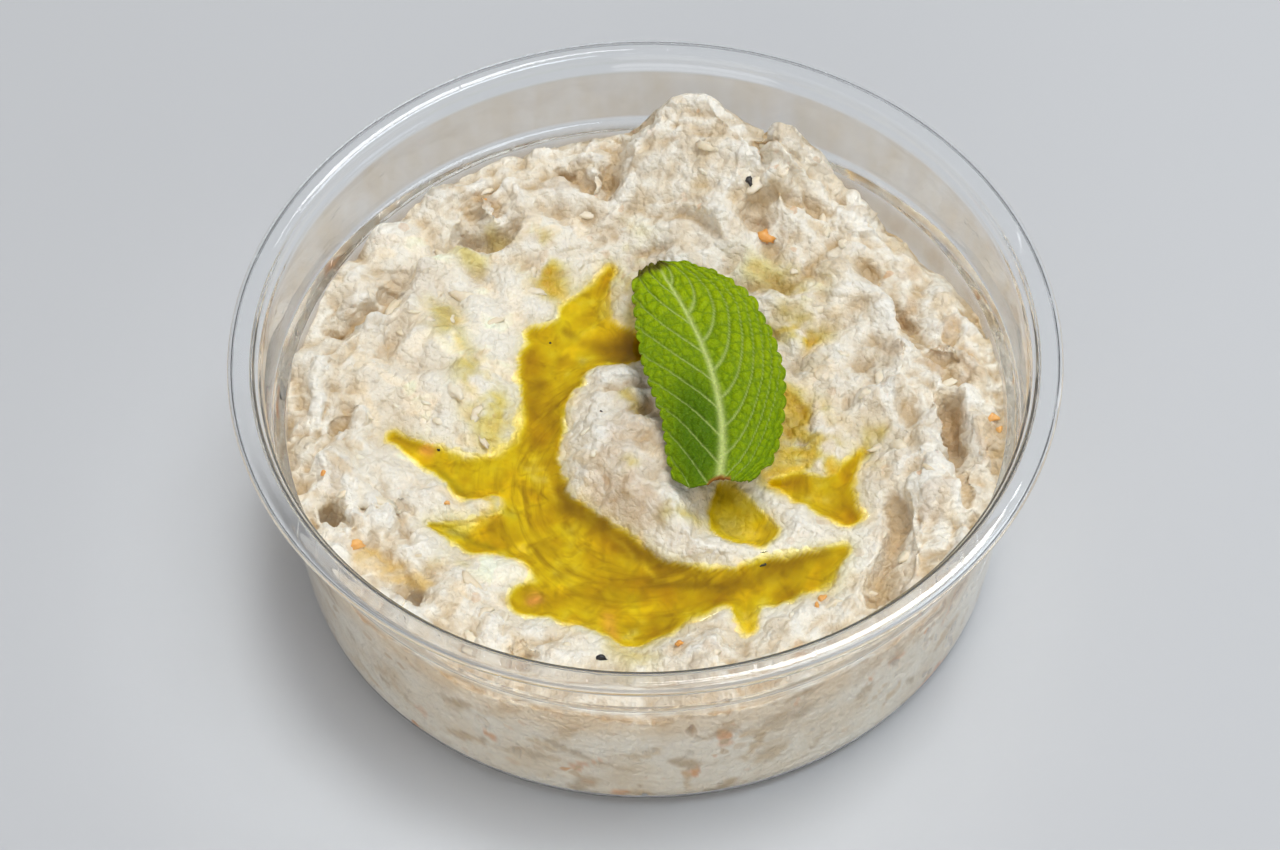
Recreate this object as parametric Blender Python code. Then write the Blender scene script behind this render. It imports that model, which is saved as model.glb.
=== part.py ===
"""A round clear tub of coarse hummus, with olive oil pooled in its swirl and a mint leaf on top.

Sizes are in millimetres, and MM turns them into metres where meshes are made. The origin is
the centre of the tub's foot, +Z is up, and the leaf's cut end points to -Y.
"""

import math

import bmesh
import bpy
import numpy as np
from mathutils import Matrix, Vector

MM = 0.001
SLIVER = 0.02            # edges that a Boolean leaves shorter than this are merged away

# The tub: a thin sheet formed into a flanged rim, a stacking ledge, a tapered wall and a foot.
# Each list runs on from the one before it, as radius and height.
HEIGHT = 40.5
RIM_RADIUS = 59.0
FLOOR = 1.5
TUB_SEGMENTS = 56
RIM_TOP = [
    (58.9, HEIGHT - 1.3),
    (RIM_RADIUS, HEIGHT - 0.7),
    (58.7, HEIGHT - 0.2),
    (58.0, HEIGHT),
    (56.1, HEIGHT),
]
HOLLOW = [
    (55.7, HEIGHT - 0.1),
    (55.2, HEIGHT - 0.7),
    (54.9, HEIGHT - 1.9),
    (54.2, HEIGHT - 2.4),
    (53.9, HEIGHT - 5.0),
    (53.8, HEIGHT - 12.4),
    (53.6, HEIGHT - 12.95),
    (52.4, HEIGHT - 13.35),
    (51.4, 3.0),
    (50.6, 1.3),
    (48.8, 0.6),
    (44.6, 0.6),
    (43.4, FLOOR),
    (0.0, FLOOR),
]
OUTSIDE = [
    (0.0, 0.9),
    (43.9, 0.9),
    (45.0, 0.0),
    (49.2, 0.0),
    (51.2, 0.9),
    (52.0, 2.9),
    (53.4, HEIGHT - 14.2),
    (54.4, HEIGHT - 12.5),
    (54.5, HEIGHT - 5.2),
    (54.8, HEIGHT - 2.8),
    (55.5, HEIGHT - 2.1),
    (55.8, HEIGHT - 0.8),
]
RIM_UNDERSIDE = [
    (56.2, HEIGHT - 0.6),
    (57.7, HEIGHT - 0.6),
    (58.2, HEIGHT - 0.9),
    (58.3, HEIGHT - 1.3),
]

# The hummus: a disc of it fills the tub to the ledge, its top worked by a spoon.
CLEARANCE = 0.3
HUMMUS_RADIUS = 51.8
HUMMUS_LEVEL = 25.0
HUMMUS_CELLS = 48
HUMMUS_UNDERSIDE = [     # radius and height, from the wall's lower end to the raised floor
    (51.0, 3.2),
    (50.2, 1.7),
    (48.6, 1.0),
    (45.0, 1.0),
    (43.6, FLOOR + CLEARANCE),
]
MOUNDS = [               # x, y, radius, height above the level
    (8, 47, 9, 11.0),
    (7.4, 49, 3.8, 4.4),
    (7, 37, 13, 4.5),
    (22.5, 43, 6.5, 8.0),
    (17, 38, 9, 3.0),
    (30, 31, 7, 3.4),
    (39, 19, 7, 2.0),
    (-18, 43, 8, 2.8),
    (-8, 46.5, 5, 2.2),
    (-30, 35, 7, 2.2),
    (-40, 25, 8, 1.8),
    (-47, 4, 7, 1.6),
    (-44, -13, 7, 1.2),
    (-30, 8, 13, 2.0),
    (-3, -10, 9, 3.8),
    (6, -19, 6, 1.4),
    (40, 5, 8, 2.0),
    (43, -13, 7, 1.8),
    (37, -24, 6, 1.4),
    (29, 3, 7, 0.8),
    (26, 22, 8, 1.4),
    (9, -42, 7, 0.8),
    (-24, -38, 8, 0.6),
    (33, 38, 3.2, 2.8),
    (39, 30.5, 3.2, 2.2),
    (45, 22, 3.0, 2.0),
    (48, 14, 3.0, 1.6),
    (-46, 23, 3.4, 1.4),
]
RIDGES = [               # x and y of both ends, half width, height
    (0, -21, 9, -24.5, 3.0, 1.8),
    (9, -24.5, 18, -24.0, 2.4, 2.0),
    (18, -24.0, 27, -20.5, 2.4, 1.8),
    (16, -13.5, 23, -18.5, 2.0, 1.6),
    (30, 25, 35, 19, 2.0, 1.2),
    (35, 19, 37.5, 9, 2.2, 1.6),
    (37.5, 9, 36, 2, 2.2, 1.5),
    (36, 2, 31, -3, 2.0, 1.4),
    (40.5, -2, 42, -12, 2.0, 1.2),
    (47, 1, 46.5, -12, 2.0, 1.2),
    (38, -16, 43, -18, 2.0, 1.2),
    (-37, -6, -24, -17.5, 2.4, 1.0),
    (-26, -16, -21, -17.5, 1.2, 1.4),
    (-44, 11.5, -39, 15.5, 1.7, 1.6),
    (-39, 15.5, -34.5, 19, 1.7, 1.8),
    (-34.5, 19, -32.5, 25, 1.8, 1.6),
    (-32.5, 25, -26, 29.5, 1.8, 1.8),
    (-26, 29.5, -18, 30, 1.7, 1.2),
    (-46, -7, -38, -3.5, 2.2, 1.4),
    (-43, -19.5, -36, -18, 1.8, 1.2),
    (-50, 9, -44, 7, 1.8, 1.4),
    (-20, 42, -17, 36, 1.8, 1.6),
    (18, 38.5, 27, 37.5, 1.8, 1.4),
    (-25, 38.5, -22.4, 34.6, 0.8, 2.2),
]
GROOVES = [              # x and y of both ends, half width, depth
    (34, 41, 47.5, 24, 4.2, 4.6),
    (-26, 32.3, -20, 32, 1.7, 3.0),
    (-5, 40, -4, 50, 1.8, 2.6),
    (17, 33, 18.5, 46, 2.0, 2.2),
    (-45, -16, -43, -18.5, 1.6, 2.2),
    (-34, -31, -31.5, -33, 1.6, 1.6),
    (44.2, 0, 44.3, -11, 1.6, 3.2),
    (35.5, -18, 32.5, -32, 2.4, 3.0),
    (28, 28, 33, 24, 1.8, 1.2),
    (33, 24, 38.5, 16, 1.8, 1.6),
    (38.5, 16, 40.5, 8, 1.8, 1.4),
    (-46, 15.5, -40.5, 18, 1.6, 1.6),
    (-40.5, 18, -37, 22, 1.6, 1.8),
    (-37, 22, -34.5, 28, 1.6, 1.4),
    (-34, 29.5, -27, 32, 1.6, 1.2),
    (-43.5, 0, -46, -7, 1.5, 1.4),
    (-12, 45, -8, 41.5, 1.6, 1.4),
]
LUMPS = [                # size across, height and seed of the lumps that the chopping leaves
    (12.5, 1.5, 11),
    (7.4, 1.0, 12),
]
CALM = 9.0               # the lumps grow to full height over this distance from the oil
KNOB = (-1, -12, 14.0)   # centre and radius of the knob in the swirl's middle
BANK_SLOPE = 0.5
KNOB_SLOPE = 1.2
LEAST_ROUGH = 0.12       # share of the lumps' height that is left under the oil
STROKE_BLEND = 1.2       # rounding between strokes, at the banks and under the leaf
BANK_BLEND = 0.8
LEAF_BLEND = 0.6

# The oil: the trough that it fills is a chain of strokes, wide where the spoon pressed.
OIL_LEVEL = 23.0
OIL_DEPTH = 2.8
TROUGH_RUN = 2.0         # the trough nears its full depth over this distance
SLAB_RADIUS = 46.0       # the oil starts as a slab this wide and thick
SLAB_THICKNESS = 6.0
POOL_STROKES = {         # x, y and half width of both ends of each stroke
    "oil_pool": [
        (-4.8, 28.2, 0.5, -8.6, 19, 4),
        (3, 12.5, 1.6, -9, 14, 5.2),
        (-11.5, 14.6, 4.6, -16, 15.6, 1.6),
        (-9, 14, 5.2, -13.5, 10.5, 5),
        (-13.5, 10.5, 4.9, -15, -1.5, 2.8),
        (-15, -1.5, 2.8, -17, -8, 3.8),
        (-17, -9, 4.4, -24.5, -11, 3.2),
        (-24.5, -11, 3.2, -36.5, -2.8, 0.9),
        (-17, -9, 4.4, -15.5, -17, 5),
        (-16, -20.2, 5.2, -24.5, -20.5, 2.8),
        (-24.5, -20.5, 2.8, -30.8, -18.6, 0.7),
        (-14, -19, 6, -7, -28.5, 8.4),
        (-9, -30, 6, -17, -31.6, 2.6),
        (-7, -28.5, 8.4, -1, -31.8, 7),
        (-5, -32, 6.4, -2.6, -36.6, 3.8),
        (-1, -31.8, 7, 10, -30.2, 2.8),
        (10, -30, 2.4, 17, -29.6, 3.6),
        (13, -31, 3, 13.7, -37, 0.9),
        (17, -29.6, 3.6, 23, -27.8, 3.4),
        (23, -27.8, 3.4, 27.6, -24.3, 1),
    ],
    "oil_pocket_front": [
        (11, -13.5, 1.6, 12.6, -18.8, 3.8),
        (12.6, -18.8, 3.8, 15.4, -20.6, 2.8),
    ],
    "oil_pocket_side": [
        (18, -12.4, 1.1, 21.6, -13, 2.2),
        (21.6, -13, 2.2, 26, -15, 3.2),
        (26, -15, 3.2, 28.4, -18.2, 2),
        (27.4, -12.6, 1.6, 30.6, -7.4, 0.5),
    ],
}

# The mint leaf: a thin quilted blade, its teeth rounded, lying from the knob to the far slope.
LEAF_SPINE = [(10.2, -16.2), (13.2, 2.0), (1.8, 24.2)]
LEAF_HEIGHT = 29.2
LEAF_THICKNESS = 0.45
LEAF_STATIONS = [        # share of the midrib, and the half widths left and right of it there
    (0.0, 6.6, 4.0),
    (0.08, 7.6, 7.0),
    (0.18, 8.2, 8.1),
    (0.33, 8.4, 9.3),
    (0.45, 9.1, 10.2),
    (0.6, 9.3, 10.4),
    (0.75, 8.2, 10.2),
    (0.83, 7.1, 8.7),
    (0.91, 5.9, 6.5),
    (0.97, 4.5, 4.1),
    (1.0, 2.6, 1.5),
]
LEAF_LOBES = (1.9, 0.4)  # how far the blade hangs below its cut end, left and right of it
LEAF_ROWS = 24
LEAF_COLUMNS = 8
LEAF_TEETH = 12
LEAF_NOTCH = 0.045       # share of the half width that the teeth's notches take
UNDER_LEAF = 27.9         # the leaf presses the hummus down to this height
PRESSED_REACH = (11.5, 4.0)      # distance from the midrib it holds to, and fades over

# Bits chopped into the hummus that stand out of its top: x, y, length, width, thickness, turn.
CARROT = [
    (18.4, 30.6, 2.6, 1.8, 1.1, 110),
    (50.0, -2.2, 1.8, 1.3, 0.9, 10),
    (24.0, -33.2, 1.8, 1.1, 0.9, 60),
    (-41.3, -23.2, 2.6, 1.5, 0.9, 25),
]
SEEDS = [
    (16.1, 37.3, 1.7, 1.0, 0.9, 95),
    (-7.0, -42.6, 2.0, 0.9, 0.8, 5),
]
SHRED_COUNT = 18
SHRED_FROM_OIL = 4.0     # clear distances from a shred's middle
SHRED_FROM_LEAF = 15.0
SHRED_GAP = 9.0
BIT_SEED = 3


def smooth_min(a, b, blend):
    """The lower of two heights, rounded where they cross."""
    mix = np.clip(0.5 + 0.5 * (b - a) / blend, 0.0, 1.0)
    return b + (a - b) * mix - blend * mix * (1.0 - mix)


def gradient_noise(x, y, seed):
    """Smooth noise from about -1 to 1 whose bumps are one unit apart."""
    size = 64
    turn = np.random.default_rng(seed).random((size, size)) * 2 * math.pi
    slope_x, slope_y = np.cos(turn), np.sin(turn)
    cell_x, cell_y = np.floor(x).astype(int), np.floor(y).astype(int)
    part_x, part_y = x - cell_x, y - cell_y
    fade_x = part_x ** 3 * (part_x * (part_x * 6 - 15) + 10)
    fade_y = part_y ** 3 * (part_y * (part_y * 6 - 15) + 10)
    total = 0.0
    for step_x in (0, 1):
        for step_y in (0, 1):
            i, j = (cell_x + step_x) % size, (cell_y + step_y) % size
            reach = slope_x[i, j] * (part_x - step_x) + slope_y[i, j] * (part_y - step_y)
            weight_x = fade_x if step_x else 1 - fade_x
            weight_y = fade_y if step_y else 1 - fade_y
            total = total + weight_x * weight_y * reach
    return total * 1.5


def along(x, y, x0, y0, x1, y1):
    """How far along a stroke the nearest point is, from 0 to 1, and the distance to it."""
    dx, dy = x1 - x0, y1 - y0
    t = np.clip(((x - x0) * dx + (y - y0) * dy) / (dx * dx + dy * dy), 0, 1)
    return t, np.hypot(x - x0 - t * dx, y - y0 - t * dy)


def pool_distance(x, y, names):
    """Distance to the shore of the named pools, below zero over the oil."""
    nearest = np.full_like(x, 99.0)
    for name in names:
        for x0, y0, r0, x1, y1, r1 in POOL_STROKES[name]:
            t, distance = along(x, y, x0, y0, x1, y1)
            nearest = smooth_min(nearest, distance - (r0 + (r1 - r0) * t), STROKE_BLEND)
    return nearest


def leaf_distance(x, y):
    """Distance from the leaf's midrib, seen from above."""
    middle = leaf_spine(0.5)[0]
    lower = along(x, y, *LEAF_SPINE[0], *middle)[1]
    upper = along(x, y, *middle, *LEAF_SPINE[2])[1]
    return np.minimum(lower, upper)


def hummus_height(x, y):
    """Height of the hummus's worked top."""
    height = np.full_like(x, HUMMUS_LEVEL)
    for mound_x, mound_y, radius, rise in MOUNDS:
        height += rise * np.exp(-((x - mound_x) ** 2 + (y - mound_y) ** 2) / radius ** 2)
    for x0, y0, x1, y1, width, rise in RIDGES:
        height += rise * np.exp(-(along(x, y, x0, y0, x1, y1)[1] / width) ** 2)
    for x0, y0, x1, y1, width, depth in GROOVES:
        height -= depth * np.exp(-(along(x, y, x0, y0, x1, y1)[1] / width) ** 2)
    shore = pool_distance(x, y, POOL_STROKES)
    rough = np.clip(shore / CALM, LEAST_ROUGH, 1.0)
    for size, rise, seed in LUMPS:
        height += rough * rise * (np.abs(gradient_noise(x / size, y / size, seed)) * 2 - 0.7)
    knob = np.exp(-((x - KNOB[0]) ** 2 + (y - KNOB[1]) ** 2) / KNOB[2] ** 2)
    bank = OIL_LEVEL + shore * (BANK_SLOPE + (KNOB_SLOPE - BANK_SLOPE) * knob)
    trough = OIL_LEVEL - OIL_DEPTH * (1 - np.exp(np.minimum(shore, 0) / TROUGH_RUN))
    height = smooth_min(height, np.where(shore > 0, bank, trough), BANK_BLEND)
    past_leaf = np.clip((leaf_distance(x, y) - PRESSED_REACH[0]) / PRESSED_REACH[1], 0, 1)
    return smooth_min(height, UNDER_LEAF + HEIGHT * past_leaf, LEAF_BLEND)


def finish(name, mesh, color, roughness, alpha=1.0, transmission=0.0):
    """An object of this mesh, in the scene, with its own material."""
    material = bpy.data.materials.new(name)
    material.use_nodes = True
    shader = material.node_tree.nodes["Principled BSDF"]
    shader.inputs["Base Color"].default_value = (*color, 1.0)
    shader.inputs["Roughness"].default_value = roughness
    shader.inputs["Metallic"].default_value = 0.0
    shader.inputs["Alpha"].default_value = alpha
    shader.inputs["Transmission Weight"].default_value = transmission
    mesh.materials.append(material)
    piece = bpy.data.objects.new(name, mesh)
    bpy.context.scene.collection.objects.link(piece)
    return piece


def to_mesh(bm, name):
    """The mesh of a bmesh drawn in millimetres, its faces turned outwards."""
    bmesh.ops.recalc_face_normals(bm, faces=bm.faces[:])
    bmesh.ops.scale(bm, vec=(MM, MM, MM), verts=bm.verts[:])
    mesh = bpy.data.meshes.new(name)
    bm.to_mesh(mesh)
    bm.free()
    return mesh


def make_tub():
    """The tub: its closed profile, turned about Z."""
    bm = bmesh.new()
    profile = OUTSIDE + RIM_UNDERSIDE + RIM_TOP + HOLLOW
    verts = [bm.verts.new((radius, 0, height)) for radius, height in profile]
    edges = [bm.edges.new(pair) for pair in zip(verts, verts[1:])]
    bmesh.ops.spin(bm, geom=verts + edges, cent=(0, 0, 0), axis=(0, 0, 1),
                   angle=2 * math.pi, steps=TUB_SEGMENTS, use_merge=True)
    bmesh.ops.remove_doubles(bm, verts=bm.verts[:], dist=0.001)
    mesh = to_mesh(bm, "tub")
    mesh.shade_smooth()
    mesh.set_sharp_from_angle(angle=math.radians(40))
    return finish("tub", mesh, (0.82, 0.84, 0.86), 0.06, alpha=0.3, transmission=0.9)


def disc_point(u, v):
    """A point of the square from -1 to 1 carried onto the unit disc, rings onto rings."""
    if u == 0 and v == 0:
        return 0.0, 0.0
    if abs(u) > abs(v):
        return u * math.cos(math.pi / 4 * v / u), u * math.sin(math.pi / 4 * v / u)
    return v * math.sin(math.pi / 4 * u / v), v * math.cos(math.pi / 4 * u / v)


def hummus_body(cells, lift):
    """A bmesh of the hummus as one closed body, its top raised by the lift."""
    bm = bmesh.new()
    side = range(cells + 1)
    places = [[disc_point(2 * i / cells - 1, 2 * j / cells - 1) for j in side] for i in side]
    flat = np.array(places).reshape(-1, 2) * HUMMUS_RADIUS
    heights = hummus_height(flat[:, 0], flat[:, 1]) + lift
    verts = [bm.verts.new((x, y, z)) for (x, y), z in zip(flat, heights)]
    grid = [verts[i * (cells + 1):(i + 1) * (cells + 1)] for i in side]
    for i in range(cells):
        for j in range(cells):
            a, b, c, d = grid[i][j], grid[i + 1][j], grid[i + 1][j + 1], grid[i][j + 1]
            halves = ((a, b, c), (a, c, d)) if (i < cells / 2) == (j < cells / 2) else (
                (a, b, d), (b, c, d))
            for half in halves:
                bm.faces.new(half)
    last = cells
    edge = ([grid[k][0] for k in range(last)] + [grid[last][k] for k in range(last)]
            + [grid[last - k][last] for k in range(last)] + [grid[0][last - k] for k in range(last)])
    above = edge
    for radius, height in HUMMUS_UNDERSIDE:
        shrink = radius / HUMMUS_RADIUS
        below = [bm.verts.new((v.co.x * shrink, v.co.y * shrink, height)) for v in edge]
        for k in range(len(edge)):
            m = (k + 1) % len(edge)
            bm.faces.new((above[k], above[m], below[m], below[k]))
        above = below
    bm.faces.new(above)
    return bm


def add_bit(bits, name, x, y, length, width, thickness, turn):
    """One chopped bit, half sunk in the hummus's top."""
    bm = bmesh.new()
    bmesh.ops.create_icosphere(bm, subdivisions=1, radius=0.5)
    height = float(hummus_height(np.array([x], float), np.array([y], float))[0])
    shape = Matrix.Diagonal((length, width, thickness, 1.0))
    place = Matrix.Translation(Vector((x, y, height + 0.1 * thickness)))
    bmesh.ops.transform(bm, matrix=place @ Matrix.Rotation(math.radians(turn), 4, "Z") @ shape,
                        verts=bm.verts[:])
    bit = bpy.data.objects.new(name, to_mesh(bm, name))
    bits.objects.link(bit)


def make_hummus():
    """The hummus, with the carrot, seeds and shreds that stand out of its top fused to it."""
    hummus = finish("hummus", to_mesh(hummus_body(HUMMUS_CELLS, 0.0), "hummus"),
                    (0.80, 0.72, 0.58), 0.45)
    bits = bpy.data.collections.new("bits")
    bpy.context.scene.collection.children.link(bits)
    for k, bit in enumerate(CARROT + SEEDS):
        add_bit(bits, f"bit_{k}", *bit)
    draw = np.random.default_rng(BIT_SEED)
    placed = []
    while len(placed) < SHRED_COUNT:
        turn, reach = draw.uniform(0, 2 * math.pi), HUMMUS_RADIUS * 0.92 * math.sqrt(draw.random())
        x, y = reach * math.cos(turn), reach * math.sin(turn)
        clear = pool_distance(np.array([x]), np.array([y]), POOL_STROKES)[0] > SHRED_FROM_OIL
        off_leaf = leaf_distance(np.array([x]), np.array([y]))[0] > SHRED_FROM_LEAF
        apart = all(math.hypot(x - a, y - b) > SHRED_GAP for a, b in placed)
        if clear and off_leaf and apart:
            placed.append((x, y))
            add_bit(bits, f"shred_{len(placed)}", x, y, draw.uniform(3.5, 6.0),
                    draw.uniform(1.2, 2.0), draw.uniform(0.9, 1.3), draw.uniform(0, 180))
    join = hummus.modifiers.new("join_bits", "BOOLEAN")
    join.operation = "UNION"
    join.operand_type = "COLLECTION"
    join.collection = bits
    apply_modifiers(hummus)
    for bit in list(bits.objects):
        bpy.data.objects.remove(bit)
    bpy.data.collections.remove(bits)
    return hummus


def apply_modifiers(piece):
    """Keep the shape that the modifiers give as the object's own mesh, without slivers."""
    graph = bpy.context.evaluated_depsgraph_get()
    mesh = bpy.data.meshes.new_from_object(piece.evaluated_get(graph))
    bm = bmesh.new()
    bm.from_mesh(mesh)
    bmesh.ops.triangulate(bm, faces=bm.faces[:])
    bmesh.ops.dissolve_degenerate(bm, edges=bm.edges[:], dist=SLIVER * MM)
    bm.to_mesh(mesh)
    bm.free()
    piece.modifiers.clear()
    old = piece.data
    piece.data = mesh
    bpy.data.meshes.remove(old)


def make_oil():
    """The pools: a level slab, less the hummus and the clearance over it, one object a pool."""
    bm = bmesh.new()
    middle = Matrix.Translation((0, 0, OIL_LEVEL - SLAB_THICKNESS / 2))
    bmesh.ops.create_cone(bm, cap_ends=True, segments=96, radius1=SLAB_RADIUS,
                          radius2=SLAB_RADIUS, depth=SLAB_THICKNESS, matrix=middle)
    slab = bpy.data.objects.new("oil_slab", to_mesh(bm, "oil_slab"))
    bed = bpy.data.objects.new("oil_bed", to_mesh(hummus_body(HUMMUS_CELLS, CLEARANCE), "oil_bed"))
    for helper in (slab, bed):
        bpy.context.scene.collection.objects.link(helper)
        helper.hide_render = True
        helper.display_type = "WIRE"
    cut = slab.modifiers.new("cut_bed", "BOOLEAN")
    cut.operation = "DIFFERENCE"
    cut.object = bed
    apply_modifiers(slab)
    for name, strokes in POOL_STROKES.items():
        finish(name, one_pool(slab.data, name, strokes[0]), (0.62, 0.45, 0.02), 0.08,
               alpha=0.75, transmission=0.7)
    for helper in (slab, bed):
        bpy.data.objects.remove(helper)


def one_pool(mesh, name, stroke):
    """A mesh of the one body among these pools that lies nearest to the stroke."""
    bm = bmesh.new()
    bm.from_mesh(mesh)
    middle = Vector((stroke[0] + stroke[3], stroke[1] + stroke[4], 2 * OIL_LEVEL)) * MM / 2
    todo = [min(bm.verts, key=lambda v: (v.co - middle).length)]
    seen = set(todo)
    while todo:
        for edge in todo.pop().link_edges:
            for other in edge.verts:
                if other not in seen:
                    seen.add(other)
                    todo.append(other)
    bmesh.ops.delete(bm, geom=[v for v in bm.verts if v not in seen], context="VERTS")
    pool = bpy.data.meshes.new(name)
    bm.to_mesh(pool)
    bm.free()
    return pool


def leaf_spine(t):
    """The point of the leaf's midrib at t, from 0 at the cut end to 1 at the tip, and its run."""
    start, bend, tip = (Vector(point) for point in LEAF_SPINE)
    point = (1 - t) ** 2 * start + 2 * t * (1 - t) * bend + t * t * tip
    run = 2 * (1 - t) * (bend - start) + 2 * t * (tip - bend)
    return point, run.normalized()


def leaf_height(t, v):
    """Height of the blade's underside at t along it and v across it, from -1 to 1."""
    fold = 0.9 * abs(v) ** 0.8 - 1.1 * v * v
    veins = 0.22 * math.cos(2 * math.pi * (6 * t - 2.2 * abs(v))) * abs(v)
    droop = 1.3 * max(0.0, -v) * max(0.0, 1 - 1.6 * t)
    return LEAF_HEIGHT + fold + veins - droop - 1.2 * t * t


def make_leaf():
    """The mint leaf, its two faces split alike, quilted between its side veins."""
    bm = bmesh.new()
    faces = []
    share, *half_widths = np.array(LEAF_STATIONS).T
    for side in (1.0, 0.0):
        rows = []
        for row in range(LEAF_ROWS + 1):
            t = row / LEAF_ROWS
            spine, run = leaf_spine(t)
            tooth = 1.0 - LEAF_NOTCH * abs(math.cos(math.pi * LEAF_TEETH * t))
            widths = [float(np.interp(t, share, row)) * tooth for row in half_widths]
            line = []
            for column in range(LEAF_COLUMNS + 1):
                v = 2 * column / LEAF_COLUMNS - 1
                half = 0 if v < 0 else 1
                reach = v * widths[half]
                back = LEAF_LOBES[half] * math.sin(math.pi * abs(v)) * (1 - t) ** 5
                x = spine.x + run.y * reach - run.x * back
                y = spine.y - run.x * reach - run.y * back
                line.append(bm.verts.new((x, y, leaf_height(t, v) + side * LEAF_THICKNESS)))
            rows.append(line)
        faces.append(rows)
    top, under = faces
    for i in range(LEAF_ROWS):
        for j in range(LEAF_COLUMNS):
            for rows in faces:
                a, b, c, d = rows[i][j], rows[i + 1][j], rows[i + 1][j + 1], rows[i][j + 1]
                bm.faces.new((a, b, c))
                bm.faces.new((a, c, d))
    edge = ([(i, 0) for i in range(LEAF_ROWS)] + [(LEAF_ROWS, j) for j in range(LEAF_COLUMNS)]
            + [(LEAF_ROWS - i, LEAF_COLUMNS) for i in range(LEAF_ROWS)]
            + [(0, LEAF_COLUMNS - j) for j in range(LEAF_COLUMNS)])
    for (i, j), (k, m) in zip(edge, edge[1:] + edge[:1]):
        bm.faces.new((top[i][j], top[k][m], under[k][m], under[i][j]))
    mesh = to_mesh(bm, "mint_leaf")
    mesh.shade_smooth()
    return finish("mint_leaf", mesh, (0.13, 0.32, 0.02), 0.5)


def main():
    for item in list(bpy.data.objects):
        bpy.data.objects.remove(item)
    make_tub()
    make_hummus()
    make_oil()
    make_leaf()


main()
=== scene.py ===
"""The looks of a round clear tub of coarse hummus, with oil in its swirl and a mint leaf on top.

Shapes are worked out in millimetres and turned into metres by MM where meshes are made. The
origin is the centre of the tub's foot, +Z is up, and the leaf's cut end points to -Y. Colours
are named by their screen values and turned into linear ones by tone().
"""

import itertools
import math

import bmesh
import bpy
import numpy as np
from mathutils import Matrix, Vector


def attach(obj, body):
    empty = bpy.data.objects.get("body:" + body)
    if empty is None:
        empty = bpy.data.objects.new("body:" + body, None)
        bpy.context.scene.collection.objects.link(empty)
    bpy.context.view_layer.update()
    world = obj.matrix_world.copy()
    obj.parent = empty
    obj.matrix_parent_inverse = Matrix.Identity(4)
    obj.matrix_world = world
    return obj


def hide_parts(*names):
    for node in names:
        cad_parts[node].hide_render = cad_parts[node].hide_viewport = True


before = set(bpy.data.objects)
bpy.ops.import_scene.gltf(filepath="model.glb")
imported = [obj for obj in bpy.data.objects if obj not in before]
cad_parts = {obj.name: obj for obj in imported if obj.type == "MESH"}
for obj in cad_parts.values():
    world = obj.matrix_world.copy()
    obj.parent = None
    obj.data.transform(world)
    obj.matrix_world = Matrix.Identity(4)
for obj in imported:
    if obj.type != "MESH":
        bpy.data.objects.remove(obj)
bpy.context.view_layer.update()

MM = 0.001

# The tub's outline, as radius and height. It is the CAD tub's, with its rim arched and its ledge
# sloped by up to 0.35 mm.
HEIGHT = 40.5
FLOOR = 1.5
TUB_SEGMENTS = 224
TUB_ROUNDING = 2         # rounds of corner cutting on the outline
TUB_OUTLINE = [
    (0.0, 0.9), (43.9, 0.9), (45.0, 0.0), (49.2, 0.0), (51.2, 0.9), (52.0, 2.9),
] + [(radius, HEIGHT - depth) for radius, depth in (
    (53.4, 14.2), (54.4, 12.5), (54.5, 5.2), (54.8, 2.8), (55.5, 2.1), (55.8, 0.8), (56.2, 0.6),
    (57.7, 0.6), (58.2, 0.9), (58.3, 1.3), (58.9, 1.3), (59.0, 0.7), (58.6, 0.3), (57.6, 0.0),
    (56.6, 0.0), (55.7, 0.3), (55.2, 0.8), (54.9, 1.9), (54.2, 2.4), (53.9, 5.0), (53.8, 12.2),
    (53.8, 12.5), (53.65, 12.65), (52.1, 13.35), (51.95, 13.5), (51.9, 13.9),
)] + [
    (51.4, 3.0), (50.6, 1.3), (48.8, 0.6), (44.6, 0.6), (43.4, FLOOR), (0.0, FLOOR),
]
INNER_WALL = slice(24, -3)       # the outline's points from the inside of the rim to the floor

CLEAR_PLASTIC = (0.965, 0.975, 0.98)
PLASTIC_SHADOW = (0.94, 0.95, 0.955)     # the light that the plastic lets through to the inside
# A warm tint for the inside of the wall: grease, with a painted reflection of the hummus.
GREASE_AND_HUMMUS_REFLECTION = (0.75, 0.60, 0.42)
FILM_HEIGHTS = (20.0, 38.5)      # the inside of the wall is tinted up to here: a grease film, with a painted reflection of the hummus
FILM_RADIUS = 54.3
LEDGE_HEIGHT = HEIGHT - 12.9

# The hummus's top, as the CAD hummus has it.
HUMMUS_RADIUS = 51.8
HUMMUS_LEVEL = 25.0
MOUNDS = [               # x, y, radius, height above the level
    (8, 47, 9, 11.0), (7.4, 49, 3.8, 4.4), (7, 37, 13, 4.5), (22.5, 43, 6.5, 8.0),
    (17, 38, 9, 3.0), (30, 31, 7, 3.4), (39, 19, 7, 2.0), (-18, 43, 8, 2.8), (-8, 46.5, 5, 2.2),
    (-30, 35, 7, 2.2), (-40, 25, 8, 1.8), (-47, 4, 7, 1.6), (-44, -13, 7, 1.2), (-30, 8, 13, 2.0),
    (-3, -10, 9, 3.8), (6, -19, 6, 1.4), (40, 5, 8, 2.0), (43, -13, 7, 1.8), (37, -24, 6, 1.4),
    (29, 3, 7, 0.8), (26, 22, 8, 1.4), (9, -42, 7, 0.8), (-24, -38, 8, 0.6), (33, 38, 3.2, 2.8),
    (39, 30.5, 3.2, 2.2), (45, 22, 3.0, 2.0), (48, 14, 3.0, 1.6), (-46, 23, 3.4, 1.4),
]
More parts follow.
